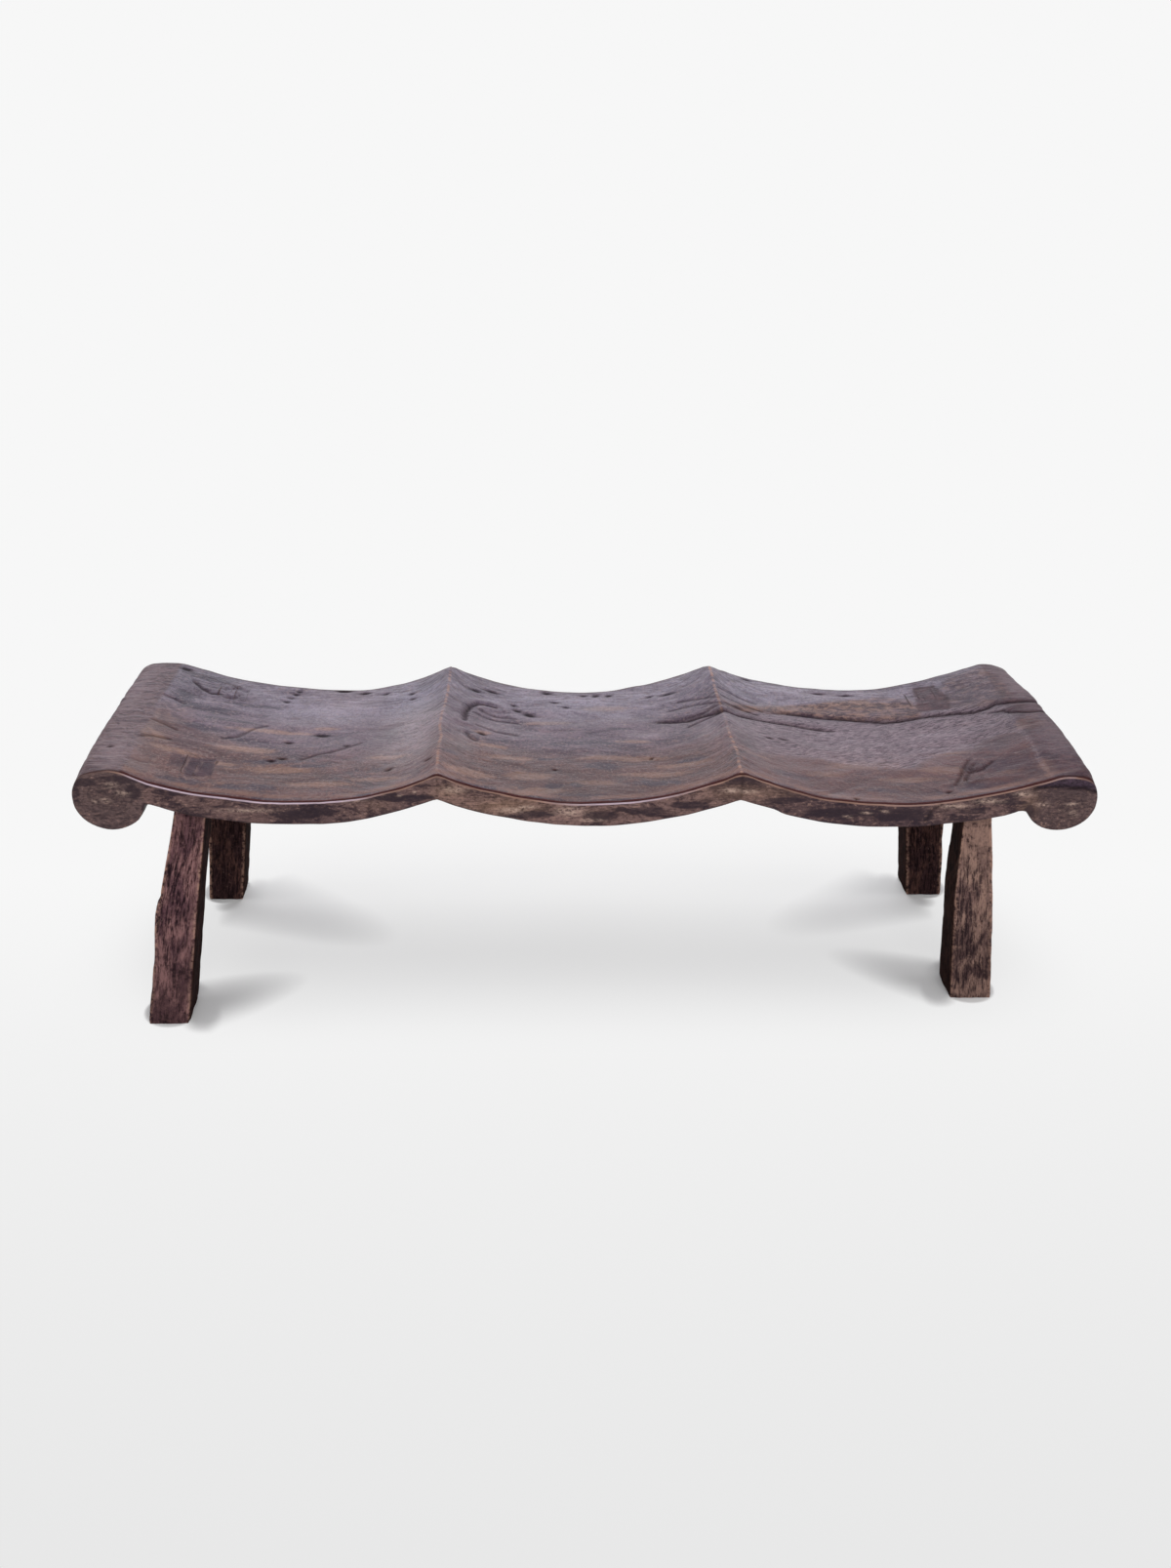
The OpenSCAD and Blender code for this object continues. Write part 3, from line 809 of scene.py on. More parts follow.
def seat_attributes(v):
    """What the seat's material reads at each vertex, from its place in mm."""
    x, y, z = v[:, 0], v[:, 1], v[:, 2]
    face = smooth(HALF_D - 6.0, HALF_D - 1.2, np.abs(y))
    across, broad = flow(x, y), drift(x, y)
    rise = np.where(face > 0.5, z, 0.0)
    down = z * 0.15 + 0.85 * np.minimum(z - 470, 0) * smooth(800, 835, np.abs(x)) * (1 - face)
    grain = np.stack([x, across * (1 - face) + 400 * face, rise + down], 1) * MM
    lie = np.stack([x, broad, down], 1) * MM
    climb = y + 0.5 * saddle_lean(x) - np.interp(x, FRAY_X, FRAY) + 6 * N2(x / 60, y / 40, 3.0)
    fray = np.stack([x, climb, 0 * x], 1) * MM
    on = 1 - face
    dist, _ = to_line(x, y, CHECK)
    check = bump(dist, 5.2 - 1.6 * smooth(262, 330, x)) * smooth(125, 160, x) * smooth(490, 450, x)
    check = np.maximum(check, 0.7 * trace(x, y, CHECK_MID, 3.2))
    dist, side = to_line(x, y, SPLIT)
    split = bump(dist, 3.8) * smooth(318, 420, x)
    below = np.where(side < 0, np.exp(-dist / 26), 0.0) * smooth(318, 420, x)
    split = np.maximum(split, trace(x, y, FORK, 3.4) * smooth(736, 760, x))
    check = np.maximum(check, split) * on
    broken = 0.55 + 0.45 * np.clip(N2(x / 16, y / 16, 4.0) * 2.5, -1, 1)
    cuts = np.maximum.reduce([
        trace(x, y, GOUGE, 3.2),
        0.75 * broken * trace(x, y, EYE, 3.0),
        trace(x, y, EYE_TAIL, 3.4),
        0.8 * trace(x, y, GOUGE_FRONT, 3.2),
        *(0.65 * trace(x, y, points, 3.2) for points in SCRAPES),
        *(1.5 * pit for pit in pits(x, y)),
    ])
    cuts = cuts * on
    field = inside(x, y, [(262, -250)] + LEDGE[1:] + [(764, -260)], 3.0) * on
    ridge = np.minimum.reduce([np.abs(x - r - ridge_walk(x, y)) for r in RIDGE_X])
    from_top = np.clip(surface_z(x, y) - z, -5, 60)
    front_face = face * (y < 0)
    cuts = np.maximum(cuts, front_face * 0.9 * trace(x, z, FACE_CUT, 3.2))
    cuts = np.maximum(cuts, front_face * 0.6 * trace(x, z, FACE_STEP, 3.0))
    crack_z = np.interp(x, [q[0] for q in FACE_CUT], [q[1] for q in FACE_CUT])
    cap = front_face * smooth(738, 752, x) * smooth(-1.5, 2.5, z - crack_z)
    crease = np.minimum(np.abs(x - RIDGE_X[0]), np.abs(x - RIDGE_X[1]))
    cuts = np.maximum(cuts, face * 0.4 * bump(crease, 2.0))
    patches_and_shade = ovals(x, z, FACE_DARK, lambda r: smooth(1.5, 0.5, r))
    tone = ovals(x, y, TONES, join=np.add) * on + ovals(x, z, FACE_TONES, join=np.add) * front_face
    # bare wood along the ridges, in patches on the right one
    crest = np.where(x < 0, 0.55, np.interp(y, CREST_Y, CREST))
    rim = np.hypot(np.maximum(0, HALF_D - np.abs(y)), np.maximum(from_top, 0))
    lip = (HALF_D - np.abs(y)) - from_top
    roll_edge = np.interp(y, [q[1] for q in SEAM_LEFT[::-1]], [q[0] for q in SEAM_LEFT[::-1]])
    roll = np.maximum(smooth(roll_edge + 3, roll_edge - 3, x), 0.75 * smooth(758, 796, x) * (1 - field))
    near = sum(np.exp(-np.abs(x - r) / 55) for r in RIDGE_X)
    strip = band(x) * (1 - field)
    tool = np.clip(near + 0.8 * smooth(100, 220, y) + roll * 0.9 + 0.2 * strip * smooth(110, 90, y), 0, 1)
    past = x - roll_edge
    seam = smooth(-4, 5, past) * smooth(70, 14, past) * smooth(-240, -190, y) * smooth(60, -10, y)
    # the rolls' end grain: a knot on each front end, and rings round it
    knot = np.maximum(bump(np.hypot(x + 782, z - 440), 30), bump(np.hypot(x - 795, z - 407), 22))
    left, right = np.hypot(x + 788, (z - 434) * 1.15), np.hypot(x - 797, (z - 408) * 1.1)
    return {
        "flow": grain,
        "lie": lie,
        "fray": fray,
        "face": face,
        "warm": bands(x, broad, WARM) * on,
        "dim": bands(x, broad, DIM) * on,
        "painted_sheen": ovals(x, y, PAINTED_SHEEN) * on,
        "tone": tone,
        "line": np.maximum.reduce([trace(x, y, points, 2.0) for points in WEDGE_LINES]) * on,
        "crest": crest,
        "patches_and_shade": patches_and_shade * front_face,
        "check": check,
        "cuts": cuts,
        "shade": np.clip(below, 0, 1),
        "patch": np.clip(areas(x, y, PATCHES, 2.4), 0, 1) * on,
        "field": field,
        "torn": strip * smooth(112, 88, y) * on,
        "ridge": ridge * MM,
        "rim": rim * MM,
        "lip": lip * MM,
        "face_darkening": np.interp(x, DARKENING_X, DARKENING),
        "glint": np.interp(x, GLINT_X, GLINT),
        # painted shade: the underside, more than about 30 mm below the top, is darker
        "under": smooth(22, 34, from_top) * on,
        "umber": areas(x, y, UMBER, 6.0) * on,
        "brown": areas(x, y, BROWN, 20.0) * on,
        "seam": seam * on,
        "back": smooth(-200, 240, y),
        "roll": roll * on,
        "tool": tool * on,
        "knot": knot * front_face,
        "pale": ovals(x, z, FACE_PALE) * front_face,
        "cap": cap,
        "swirl": front_face * np.where(x < 0, left, right) * MM,
        "end": np.where(x < 0, smooth(-716, -740, x), smooth(716, 742, x)) * face,
    }


# The legs, their tenons and wedges: for each leg, as the part's source has them
LEG_NAMES = ("front_left", "front_right", "rear_left", "rear_right")
SIDES = ((-1, -1), (1, -1), (-1, 1), (1, 1))
MORTISE_IN, MORTISE_EDGE = (193, 180, 198, 191), (96.5, 84.5, 70.5, 75.5)
RAKE_X, RAKE_Y = (9.0, 5.4, 6.6, 7.9), (10.9, 0.0, 2.6, 5.9)
FOOT = ((73, 86), (76, 73), (70, 71), (72, 73))
KNEE = ((72, 82), (69, 68), (76, 72), (77, 70))
KNEE_Z, KNEE_BOW = (198, 210, 176, 184), (6, -2, 1.5, 2)
TENON = ((50, 66), (40, 58), (52, 56), (50, 57))
WEDGE_T, WEDGE_TIP, WEDGE_L, KERF_BELOW = 6.0, 1.6, 30.0, 12.0
# how far the ends of tenons and wedges stand above the worn saddle
PROUD, WEDGE_PROUD = 0.1, 0.2
# room beside the wedge in its kerf, how far the kerf's cutter passes the tenon, and how short the wedge is
KERF_GAP, KERF_PAST, WEDGE_SHORT = 0.06, 8.0, 0.2


def plain_top(leg):
    x = SIDES[leg][0] * (SEAT_L / 2 - MORTISE_IN[leg])
    return float(plain_z(np.array([x]))[0])


def leg_line(leg, z):
    """Middle, width and depth of a leg at height z."""
    sx, sy = SIDES[leg]
    zt = plain_top(leg)
    kz = KNEE_Z[leg]
    mx, my = sx * (SEAT_L / 2 - MORTISE_IN[leg]), sy * (HALF_D - MORTISE_EDGE[leg])
    up = (z - kz) / (zt - kz)
    bow = np.where(z < kz, KNEE_BOW[leg] * z / kz, KNEE_BOW[leg] * (1 - up))
    x = mx + sx * ((zt - z) * math.tan(math.radians(RAKE_X[leg])) + bow)
    y = my + sy * (zt - z) * math.tan(math.radians(RAKE_Y[leg]))
    low = z / kz
    size = []
    for foot, knee, tenon in zip(FOOT[leg], KNEE[leg], TENON[leg]):
        size.append(np.where(z < kz, foot + (knee - foot) * low, knee + (tenon - knee) * up))
    return x, y, *size


def square_ring(per_side, corner):
    """Points round a square of half-size 1 with rounded corners, and their outward directions."""
    pts, nrm = [], []
    for q in range(4):
        a = math.pi / 2 * q
        c, s = round(math.cos(a)), round(math.sin(a))
        for k in range(per_side):
            t = -1 + corner + (2 - 2 * corner) * k / (per_side - 1)
            pts.append((c - s * t, s + c * t))
            nrm.append((c, s))
        for k in (1, 2):
            phi = a + math.pi / 2 * k / 3
            cx, cy = (c - s * (1 - corner)), (s + c * (1 - corner))
            bx, by = cx - c * corner, cy - s * corner
            pts.append((bx + corner * math.cos(phi), by + corner * math.sin(phi)))
            nrm.append((math.cos(phi), math.sin(phi)))
    return np.array(pts), np.array(nrm)


def tube(levels, n):
    """Numbers of the vertices in rings of n points, and the faces between the rings."""
    idx = np.arange(levels * n).reshape(levels, n)
    nxt = np.roll(idx, -1, 1)
    return idx, [np.stack([idx[:-1], nxt[:-1], nxt[1:], idx[1:]], -1).reshape(-1, 4)]


def leg_shape(leg, grow=0.0, z_from=0.0, z_to=None):
    """A hewn leg up to the seat's top, or a plain bar between two heights to cut its mortise."""
    ring, nrm = square_ring(14, 0.10)
    n = len(ring)
    hewn = z_to is None
    levels = 125 if hewn else 24
    k = 100 * leg

    def place(z):
        x, y, w, d = leg_line(leg, z)
        rx, ry = ring[:, 0], ring[:, 1]
        px, py = x + rx * (w / 2 + grow), y + ry * (d / 2 + grow)
        if hewn:
            free = smooth(0, 40, plain_top(leg) - 60 - z)
            r = 1.1 * N1(rx * 1.3 + k, ry * 1.3, z / 105) + 0.6 * N2(rx * 3 + k, ry * 3, z / 52)
            r = r + 0.35 * N3(rx * 9 + k, ry * 9, z / 60)
            corner = smooth(0.62, 0.80, np.abs(rx) * np.abs(ry))
            r = r - corner * (1.6 * np.maximum(N3(z / 24, k + rx * 1.5, ry * 1.5), 0) + 0.5)
            r = r - 2.2 * smooth(7, 0, z) * (0.6 + 0.6 * np.maximum(N2(rx * 2 + k, ry * 2, 7.0), 0))
            if leg == 0:
                # a shoulder left by the adze on the outer side
                outer = smooth(0.7, 0.95, -rx)
                r = r + outer * (3.4 * smooth(222, 214, z) * smooth(120, 200, z) - 1.4 * bump(z - 226, 8))
            if leg == 1:
                r = r + smooth(0.7, 0.95, rx) * (1.6 * bump(z - 285, 14) + 1.4 * bump(z - 110, 50))
            px, py = px + nrm[:, 0] * (r * free - 0.4), py + nrm[:, 1] * (r * free - 0.4)
        return px, py

    if hewn:
        z_top = np.full(n, plain_top(leg))
        for _ in range(4):
            px, py = place(z_top)
            z_top = surface_z(px, py) + PROUD
    else:
        z_top = np.full(n, float(z_to))
    rows = []
    for j in range(levels + 1):
        z = z_from + (z_top - z_from) * j / levels
        px, py = place(z)
        rows.append(np.stack([px, py, np.full(n, 1.0) * z], 1))
    grid = np.stack(rows)
    verts = [grid.reshape(-1, 3)]
    idx, faces = tube(levels + 1, n)
    base = (levels + 1) * n
    for level, up in ((0, False), (levels, True)):
        edge, centre = grid[level], grid[level].mean(0)
        outer = idx[level]
        for share in (0.86, 0.68, 0.45, 0.22):
            q = centre + (edge - centre) * share
            if up and hewn:
                q[:, 2] = surface_z(q[:, 0], q[:, 1]) + PROUD
            else:
                q[:, 2] = edge[:, 2] if up else z_from
            verts.append(q)
            inner = base + np.arange(n)
            base += n
            a, b, c, d = outer, np.roll(outer, -1), np.roll(inner, -1), inner
            f = np.stack([a, b, c, d], -1)
            faces.append(f if up else f[:, ::-1])
            outer = inner
        mid = centre.copy()
        if up and hewn:
            mid[2] = surface_z(mid[0], mid[1]) + PROUD
        verts.append(mid[None])
        f = np.stack([outer, np.roll(outer, -1), np.full(n, base)], -1)
        faces.append(f if up else f[:, ::-1])
        base += 1
    return np.concatenate(verts), faces


def prism(leg, below, gap, side_room, conform=None):
    """The wedge's taper, or the kerf that it sits in: a thin box through the tenon's depth."""
    zt = plain_top(leg)
    rows = []
    for h in [below, WEDGE_L, -26.0] if conform is None else [below, below / 2, 0.0]:
        z = zt - h
        x, y, _, d = leg_line(leg, np.array(z, float))
        t = WEDGE_TIP + (WEDGE_T - WEDGE_TIP) * min(1.2, max(0.0, (WEDGE_L - h) / WEDGE_L)) + 2 * gap
        half = d / 2 + side_room
        steps = np.linspace(-1, 1, 13)
        ring = [(x + t / 2, y + half * s, z) for s in steps]
        ring += [(x - t / 2, y + half * s, z) for s in steps[::-1]]
        rows.append(np.array(ring, float))
    if conform is not None:
        rows[-1][:, 2] = surface_z(rows[-1][:, 0], rows[-1][:, 1]) + conform
    n = len(rows[0])
    idx, faces = tube(3, n)
    for a, turn in ((idx[0], -1), (idx[2], 1)):
        for m in range(n // 2 - 1):
            faces.append(np.array([[a[m], a[m + 1], a[n - 2 - m], a[n - 1 - m]][::turn]]))
    return np.concatenate(rows), faces


def shift(v):
    v = np.array(v, float)
    v[:, 1] += SEAT_Y
    return v


# Materials
class Tree:
    """A small helper to write a node tree as code."""

    def __init__(self, tree, out):
        self.t = tree
        tree.nodes.clear()
        self.out = self.new(out)

    def new(self, kind, **props):
        n = self.t.nodes.new("ShaderNode" + kind)
        for k, v in props.items():
            setattr(n, k, v)
        return n

    def put(self, socket, value):
        if isinstance(value, bpy.types.NodeSocket):
            self.t.links.new(value, socket)
        elif value is not None:
            socket.default_value = value

    def node(self, kind, *values, out=0, **props):
        """A node with its first inputs given in order, and one of its outputs."""
        n = self.new(kind, **props)
        for socket, value in zip(n.inputs, values):
            self.put(socket, value)
        return n.outputs[out]

    def attr(self, name, vector=False):
        n = self.new("Attribute", attribute_type="GEOMETRY", attribute_name=name)
        return n.outputs["Vector" if vector else "Fac"]

    def math(self, op, a, b=None, clamp=False):
        return self.node("Math", a, b, operation=op, use_clamp=clamp)

    def mul(self, a, b, clamp=False):
        return self.math("MULTIPLY", a, b, clamp)

    def add(self, a, b, clamp=False):
        return self.math("ADD", a, b, clamp)

    def sub(self, a, b, clamp=False):
        return self.math("SUBTRACT", a, b, clamp)

    def most(self, a, b):
        return self.math("MAXIMUM", a, b)

    def parts(self, vector):
        """The x, y and z of a vector."""
        n = self.new("SeparateXYZ")
        self.put(n.inputs[0], vector)
        return n.outputs

    def rays(self, *kinds):
        """1 for rays of any of these kinds, 0 for all others."""
        path = self.new("LightPath").outputs
        shown = path[kinds[0]]
        for kind in kinds[1:]:
            shown = self.most(shown, path[kind])
        return shown

    def attrs(self, *names):
        return [self.attr(name) for name in names]

    def noise(self, vector, stretch, detail, rough, distort=0.0, w=None):
        n = self.new("TexNoise", noise_dimensions="3D" if w is None else "4D")
        vector = self.node("VectorMath", vector, stretch, operation="MULTIPLY")
        if w is not None:
            n.inputs["W"].default_value = w
        values = {"Vector": vector, "Scale": 1.0, "Detail": detail, "Roughness": rough}
        for key, value in {**values, "Distortion": distort}.items():
            self.put(n.inputs[key], value)
        return n.outputs["Fac"]

    def ramp(self, value, lo, hi, a=0.0, b=1.0, smooth_step=True):
        kind = "SMOOTHSTEP" if smooth_step else "LINEAR"
        return self.node("MapRange", value, lo, hi, a, b, interpolation_type=kind)

    def mix(self, factor, a, b):
        n = self.new("Mix", data_type="RGBA")
        for k, value in ((0, factor), (6, a), (7, b)):
            self.put(n.inputs[k], value)
        return n.outputs[2]

    def lay(self, under, over, mask, share):
        """Lays one colour over another, as much as the mask times the share."""
        return self.mix(self.mul(mask, share), under, over)

    def layers(self, colour, *rows):
        """Lays colours over each other in turn; each row is a mask, its share and the colour."""
        for mask, share, over in rows:
            colour = self.lay(colour, over, mask, share)
        return colour


class Wood(Tree):
    """A material of its own with one principled shader."""

    def __init__(self, name):
        self.mat = bpy.data.materials.new(name)
        self.mat.use_nodes = True
        super().__init__(self.mat.node_tree, "OutputMaterial")
        self.bsdf = self.new("BsdfPrincipled")
        self.t.links.new(self.bsdf.outputs[0], self.out.inputs[0])

    def surface(self, *values):
        for key, value in values:
            self.put(self.bsdf.inputs[key], value)

    def relief(self, *layers):
        """Small relief: each layer is a mask or a noise, and how many millimetres it stands for."""
        height = 0.0
        for value, deep in layers:
            height = self.add(height, self.mul(value, deep))
        n = self.new("Bump")
        for key, value in (("Strength", 1.0), ("Distance", MM), ("Height", height)):
            self.put(n.inputs[key], value)
        self.surface(("Normal", n.outputs[0]))


def col(*rgb):
    """A colour given as it is seen, 0 to 255, in the linear values that shaders take."""
    seen = [c / 255.0 for c in rgb]
    return (*(c / 12.92 if c <= 0.04045 else ((c + 0.055) / 1.055) ** 2.4 for c in seen), 1.0)


def polished(m, grain):
    """Grey brown polish, warmer and darker in front and greyer behind, partly its own colour and partly a
    painted sheen that grows towards the back, with tan and dark patches along the grain.
    """
    lie = m.attr("lie", vector=True)
    back, warm, dim, painted_sheen = m.attrs("back", "warm", "dim", "painted_sheen")
    front = m.ramp(back, 0.45, 0.02)
    far = m.ramp(back, 0.55, 1.0)
    broad = m.noise(lie, (7.0, 13.0, 12.0), 5.0, 0.62, 1.5)
    waves = m.noise(lie, (36.0, 50.0, 50.0), 6.0, 0.70, 1.3, w=2.0)
    streak = m.noise(grain, (62.0, 125.0, 125.0), 5.0, 0.68, 0.5)
    fine = m.noise(grain, (170.0, 330.0, 330.0), 4.0, 0.68)
    blotch = m.noise(lie, (10.0, 20.0, 40.0), 6.0, 0.64, 1.2, w=3.0)
    hue = m.noise(lie, (9.0, 18.0, 17.0), 5.0, 0.64, 1.2, w=11.0)
    # patches end in fibres: the streaks shift every border a little
    ragged = m.add(m.mul(waves, 1.5), m.mul(streak, 1.3))
    ragged = m.sub(ragged, 1.4)
    # the grey and blue towards the back is partly painted sheen; the warm, darker front is partly the
    # polish's own colour
    light = m.mix(far, m.mix(front, col(105, 87, 101), col(104, 67, 66)), col(126, 116, 132))
    deep = m.mix(far, m.mix(front, col(54, 36, 55), col(37, 20, 35)), col(72, 58, 76))
    both = m.add(m.mul(broad, 0.45), m.mul(waves, 0.35))
    both = m.add(both, m.mul(streak, 0.20))
    colour = m.mix(m.ramp(both, 0.40, 0.60), deep, light)
    brown = m.mul(m.ramp(hue, 0.48, 0.60), m.add(0.07, m.mul(front, 0.40)))
    brown = m.most(brown, m.attr("brown"))
    tan = m.mul(m.ramp(ragged, 0.06, 0.30), m.ramp(blotch, 0.46, 0.60))
    worn = m.ramp(m.add(warm, ragged), 0.2, 0.95)
    dusk = m.ramp(m.sub(dim, ragged), 0.25, 0.95)
    # painted sheen: a grey, lavender reflection laid over the polish, bluer towards the back
    sheen_mask = m.mul(painted_sheen, m.ramp(streak, 0.35, 0.62, 0.45, 1.0))
    lines = m.mul(m.ramp(streak, 0.54, 0.66), m.ramp(blotch, 0.56, 0.44, 0.35, 1.0))
    mottle = m.noise(lie, (200.0, 125.0, 125.0), 4.0, 0.66, 0.4, w=15.0)
    colour = m.layers(
        colour,
        (brown, 1.0, col(86, 53, 46)),
        (tan, m.add(0.28, m.mul(front, 0.32)), col(142, 104, 86)),
        (worn, 0.62, m.mix(far, col(142, 105, 88), col(132, 110, 108))),
        (dusk, 0.78, col(38, 26, 48)),
        (sheen_mask, 0.55, m.mix(m.ramp(back, 0.55, 0.92), col(160, 147, 154), col(149, 146, 164))),
        (lines, 0.50, col(42, 28, 40)),
        (m.ramp(streak, 0.45, 0.34), 0.28, col(146, 120, 116)),
        (m.ramp(fine, 0.53, 0.66), 0.46, col(38, 25, 35)),
        (m.ramp(mottle, 0.52, 0.63), 0.34, col(40, 28, 38)),
        (m.ramp(mottle, 0.47, 0.37), 0.24, col(158, 134, 130)),
    )
    return colour, broad, waves, streak, fine, blotch, ragged


def faces_colour(m, grain):
    """The long faces and roll ends: scuffed in tan over dark patches, with fine grain along them."""
    spread = m.noise(grain, (18.0, 14.0, 42.0), 7.0, 0.72, 0.8, w=5.0)
    grit = m.noise(grain, (130.0, 120.0, 190.0), 6.0, 0.76, 0.6, w=7.0)
    fibres = m.noise(grain, (60.0, 300.0, 330.0), 4.0, 0.65, 0.2, w=6.0)
    end = m.attr("end")
    side = m.mix(m.ramp(spread, 0.42, 0.56), col(62, 47, 52), col(136, 108, 104))
    tone = m.attr("tone")
    patches_and_shade = m.ramp(m.add(m.attr("patches_and_shade"), m.mul(m.sub(spread, 0.5), -2.4)), 0.25, 0.9)
    turns = m.node("CombineXYZ", m.mul(m.attr("swirl"), 190.0), m.mul(spread, 4.0))
    rings = m.noise(turns, (1.0, 1.0, 1.0), 4.0, 0.5)
    side = m.layers(
        side,
        (end, 0.7, col(112, 93, 93)),
        # darker along stretches of the front face
        (m.attr("face_darkening"), 0.66, col(56, 43, 54)),
        (tone, -1.5, col(48, 37, 42)),
        (tone, 1.5, col(178, 142, 120)),
        (m.ramp(grit, 0.50, 0.62), 0.6, col(46, 37, 42)),
        (m.ramp(grit, 0.47, 0.36), m.ramp(spread, 0.42, 0.60, 0.3, 0.8), col(178, 142, 128)),
        # dark patches, and painted shade under the rolls' rims
        (patches_and_shade, 0.75, col(50, 39, 47)),
        (end, m.ramp(rings, 0.46, 0.64, 0.0, 0.45), col(58, 44, 48)),
        (m.attr("knot"), m.ramp(grit, 0.40, 0.55, 0.15, 0.55), col(50, 38, 45)),
        (m.ramp(fibres, 0.50, 0.64), 0.5, col(48, 36, 40)),
        (m.attr("pale"), m.ramp(grit, 0.62, 0.40), col(204, 176, 162)),
        (m.attr("cap"), 0.85, m.mix(m.ramp(grit, 0.42, 0.60), col(78, 62, 78), col(44, 34, 44))),
    )
    return side, spread, grit, fibres


def seat_material():
    m = Wood("seat_wood")
    grain = m.attr("flow", vector=True)
    face, check, cuts, shade = m.attrs("face", "check", "cuts", "shade")
    patch, field, torn, ridge = m.attrs("patch", "field", "torn", "ridge")
    rim, roll, tool, back = m.attrs("rim", "roll", "tool", "back")
    top = m.sub(1.0, face)
    colour, broad, waves, streak, fine, blotch, ragged = polished(m, grain)
    marks = m.noise(grain, (28.0, 140.0, 140.0), 3.0, 0.6, 0.15, w=1.0)
    pores = m.noise(grain, (150.0, 900.0, 900.0), 2.0, 0.6, 0.0, w=4.0)
    # the rolls are drier, with dark chops and pale specks
    chops = m.noise(m.attr("lie", vector=True), (42.0, 66.0, 66.0), 4.0, 0.62, 0.4, w=9.0)
    dry = m.mix(m.ramp(chops, 0.36, 0.62), col(64, 49, 57), col(108, 88, 93))
    dry = m.layers(
        dry,
        (m.ramp(chops, 0.57, 0.65), 0.8, col(38, 28, 35)),
        (m.ramp(fine, 0.52, 0.68), 0.45, col(140, 112, 102)),
    )
    # torn fibres beside the split, the polished field before them, and stained patches
    frayed = m.noise(m.attr("fray", vector=True), (62.0, 250.0, 10.0), 6.0, 0.76, 0.8, w=14.0)
    fibre = m.mix(m.ramp(frayed, 0.41, 0.59), col(60, 48, 58), col(146, 128, 137))
    umber = m.mix(m.ramp(ragged, -0.14, 0.24), col(56, 38, 42), col(138, 107, 94))
    stain = m.mix(
        m.ramp(waves, 0.40, 0.62), m.mix(back, col(38, 24, 42), col(44, 24, 26)),
        m.mix(back, col(66, 46, 58), col(80, 52, 52)),
    )
    tone = m.attr("tone")
    side, spread, grit, fibres = faces_colour(m, grain)
    # worn arrises, a painted highlight along the front rim, checks and cuts
    tips = m.ramp(m.noise(grain, (3.0, 130.0, 3.0), 1.0, 0.5, 0.0, w=8.0), 0.40, 0.56, 0.15, 1.0)
    wear = m.mul(m.ramp(ridge, 0.0040, 0.0010), m.mul(m.attr("crest"), tips))
    near = m.mul(m.sub(1.0, roll, clamp=True), m.sub(1.0, back))
    behind = m.mul(m.mul(m.ramp(rim, 0.034, 0.024), m.ramp(rim, 0.014, 0.020)), m.mul(top, near))
    lip = m.attr("lip")
    groove = m.mul(m.ramp(lip, 0.0130, 0.0080), m.ramp(lip, 0.0020, 0.0036))
    groove = m.mul(groove, near)
    # painted highlight along the top of the front rim, lavender where glint is strong, none towards the back
    across_lip = m.math("ABSOLUTE", m.sub(lip, 0.0008))
    glint = m.attr("glint")
    line = m.mul(m.ramp(across_lip, 0.0030, 0.0010), m.ramp(spread, 0.34, 0.50, 0.5, 1.0))
    line = m.mul(line, m.mul(glint, 1.1, clamp=True))
    line = m.mul(line, m.ramp(back, 0.8, 0.4))
    torn_edge = m.mul(m.most(check, cuts), m.ramp(streak, 0.30, 0.55, 0.65, 1.0), clamp=True)
    colour = m.layers(
        colour,
        (m.mul(tool, m.ramp(marks, 0.50, 0.38)), 0.5, col(48, 37, 44)),
        (roll, 0.88, dry),
        (m.attr("seam"), m.ramp(blotch, 0.36, 0.56, 0.2, 0.6), col(108, 86, 84)),
        (torn, 0.68, fibre),
        (field, m.ramp(blotch, 0.35, 0.62, 0.15, 0.60), col(88, 62, 65)),
        (m.attr("umber"), m.ramp(blotch, 0.36, 0.52, 0.35, 0.9), umber),
        (patch, 0.82, stain),
        (m.attr("line"), 0.4, col(150, 122, 114)),
        (shade, 0.35, col(48, 36, 42)),
        # painted shade on the underside
        (m.attr("under"), 0.75, col(46, 31, 33)),
        (tone, -1.0, m.mix(back, col(36, 15, 22), col(30, 24, 34))),
        (tone, 1.0, col(172, 154, 162)),
        (face, 1.0, side),
        (m.mul(wear, top), 0.9, col(158, 118, 100)),
        (behind, m.ramp(spread, 0.40, 0.55, 0.2, 0.7), col(118, 84, 74)),
        (groove, m.ramp(spread, 0.38, 0.52, 0.65, 1.0), col(62, 24, 24)),
        # the painted highlight along the rim
        (line, 1.0, m.mix(m.ramp(glint, 0.45, 0.80), col(206, 160, 138), col(222, 200, 214))),
        (torn_edge, 0.92, col(24, 16, 19)),
    )
    rough = m.ramp(waves, 0.35, 0.65, 0.32, 0.42, False)
    rough = m.add(rough, m.mul(face, 0.22))
    rough = m.add(rough, m.mul(m.most(roll, torn), 0.10))
    rough = m.add(rough, m.mul(m.most(patch, m.attr("umber")), 0.16))
    rough = m.add(rough, m.mul(m.most(torn_edge, groove), 0.45), clamp=True)
    m.surface(("Base Color", colour), ("Roughness", rough), ("Specular IOR Level", 0.12))
    # height in millimetres: each layer, how deep it is, and where
    m.relief(
        (waves, 1.6),
        (broad, 3.2),
        (streak, 0.8),
        (m.mul(marks, tool), 4.2),
        (m.mul(chops, roll), -5.0),
        (fine, 0.45),
        (pores, 0.22),
        (torn_edge, -1.6),
        (m.mul(grit, face), 2.0),
        (m.mul(fibres, face), 0.8),
    )
    return m.mat


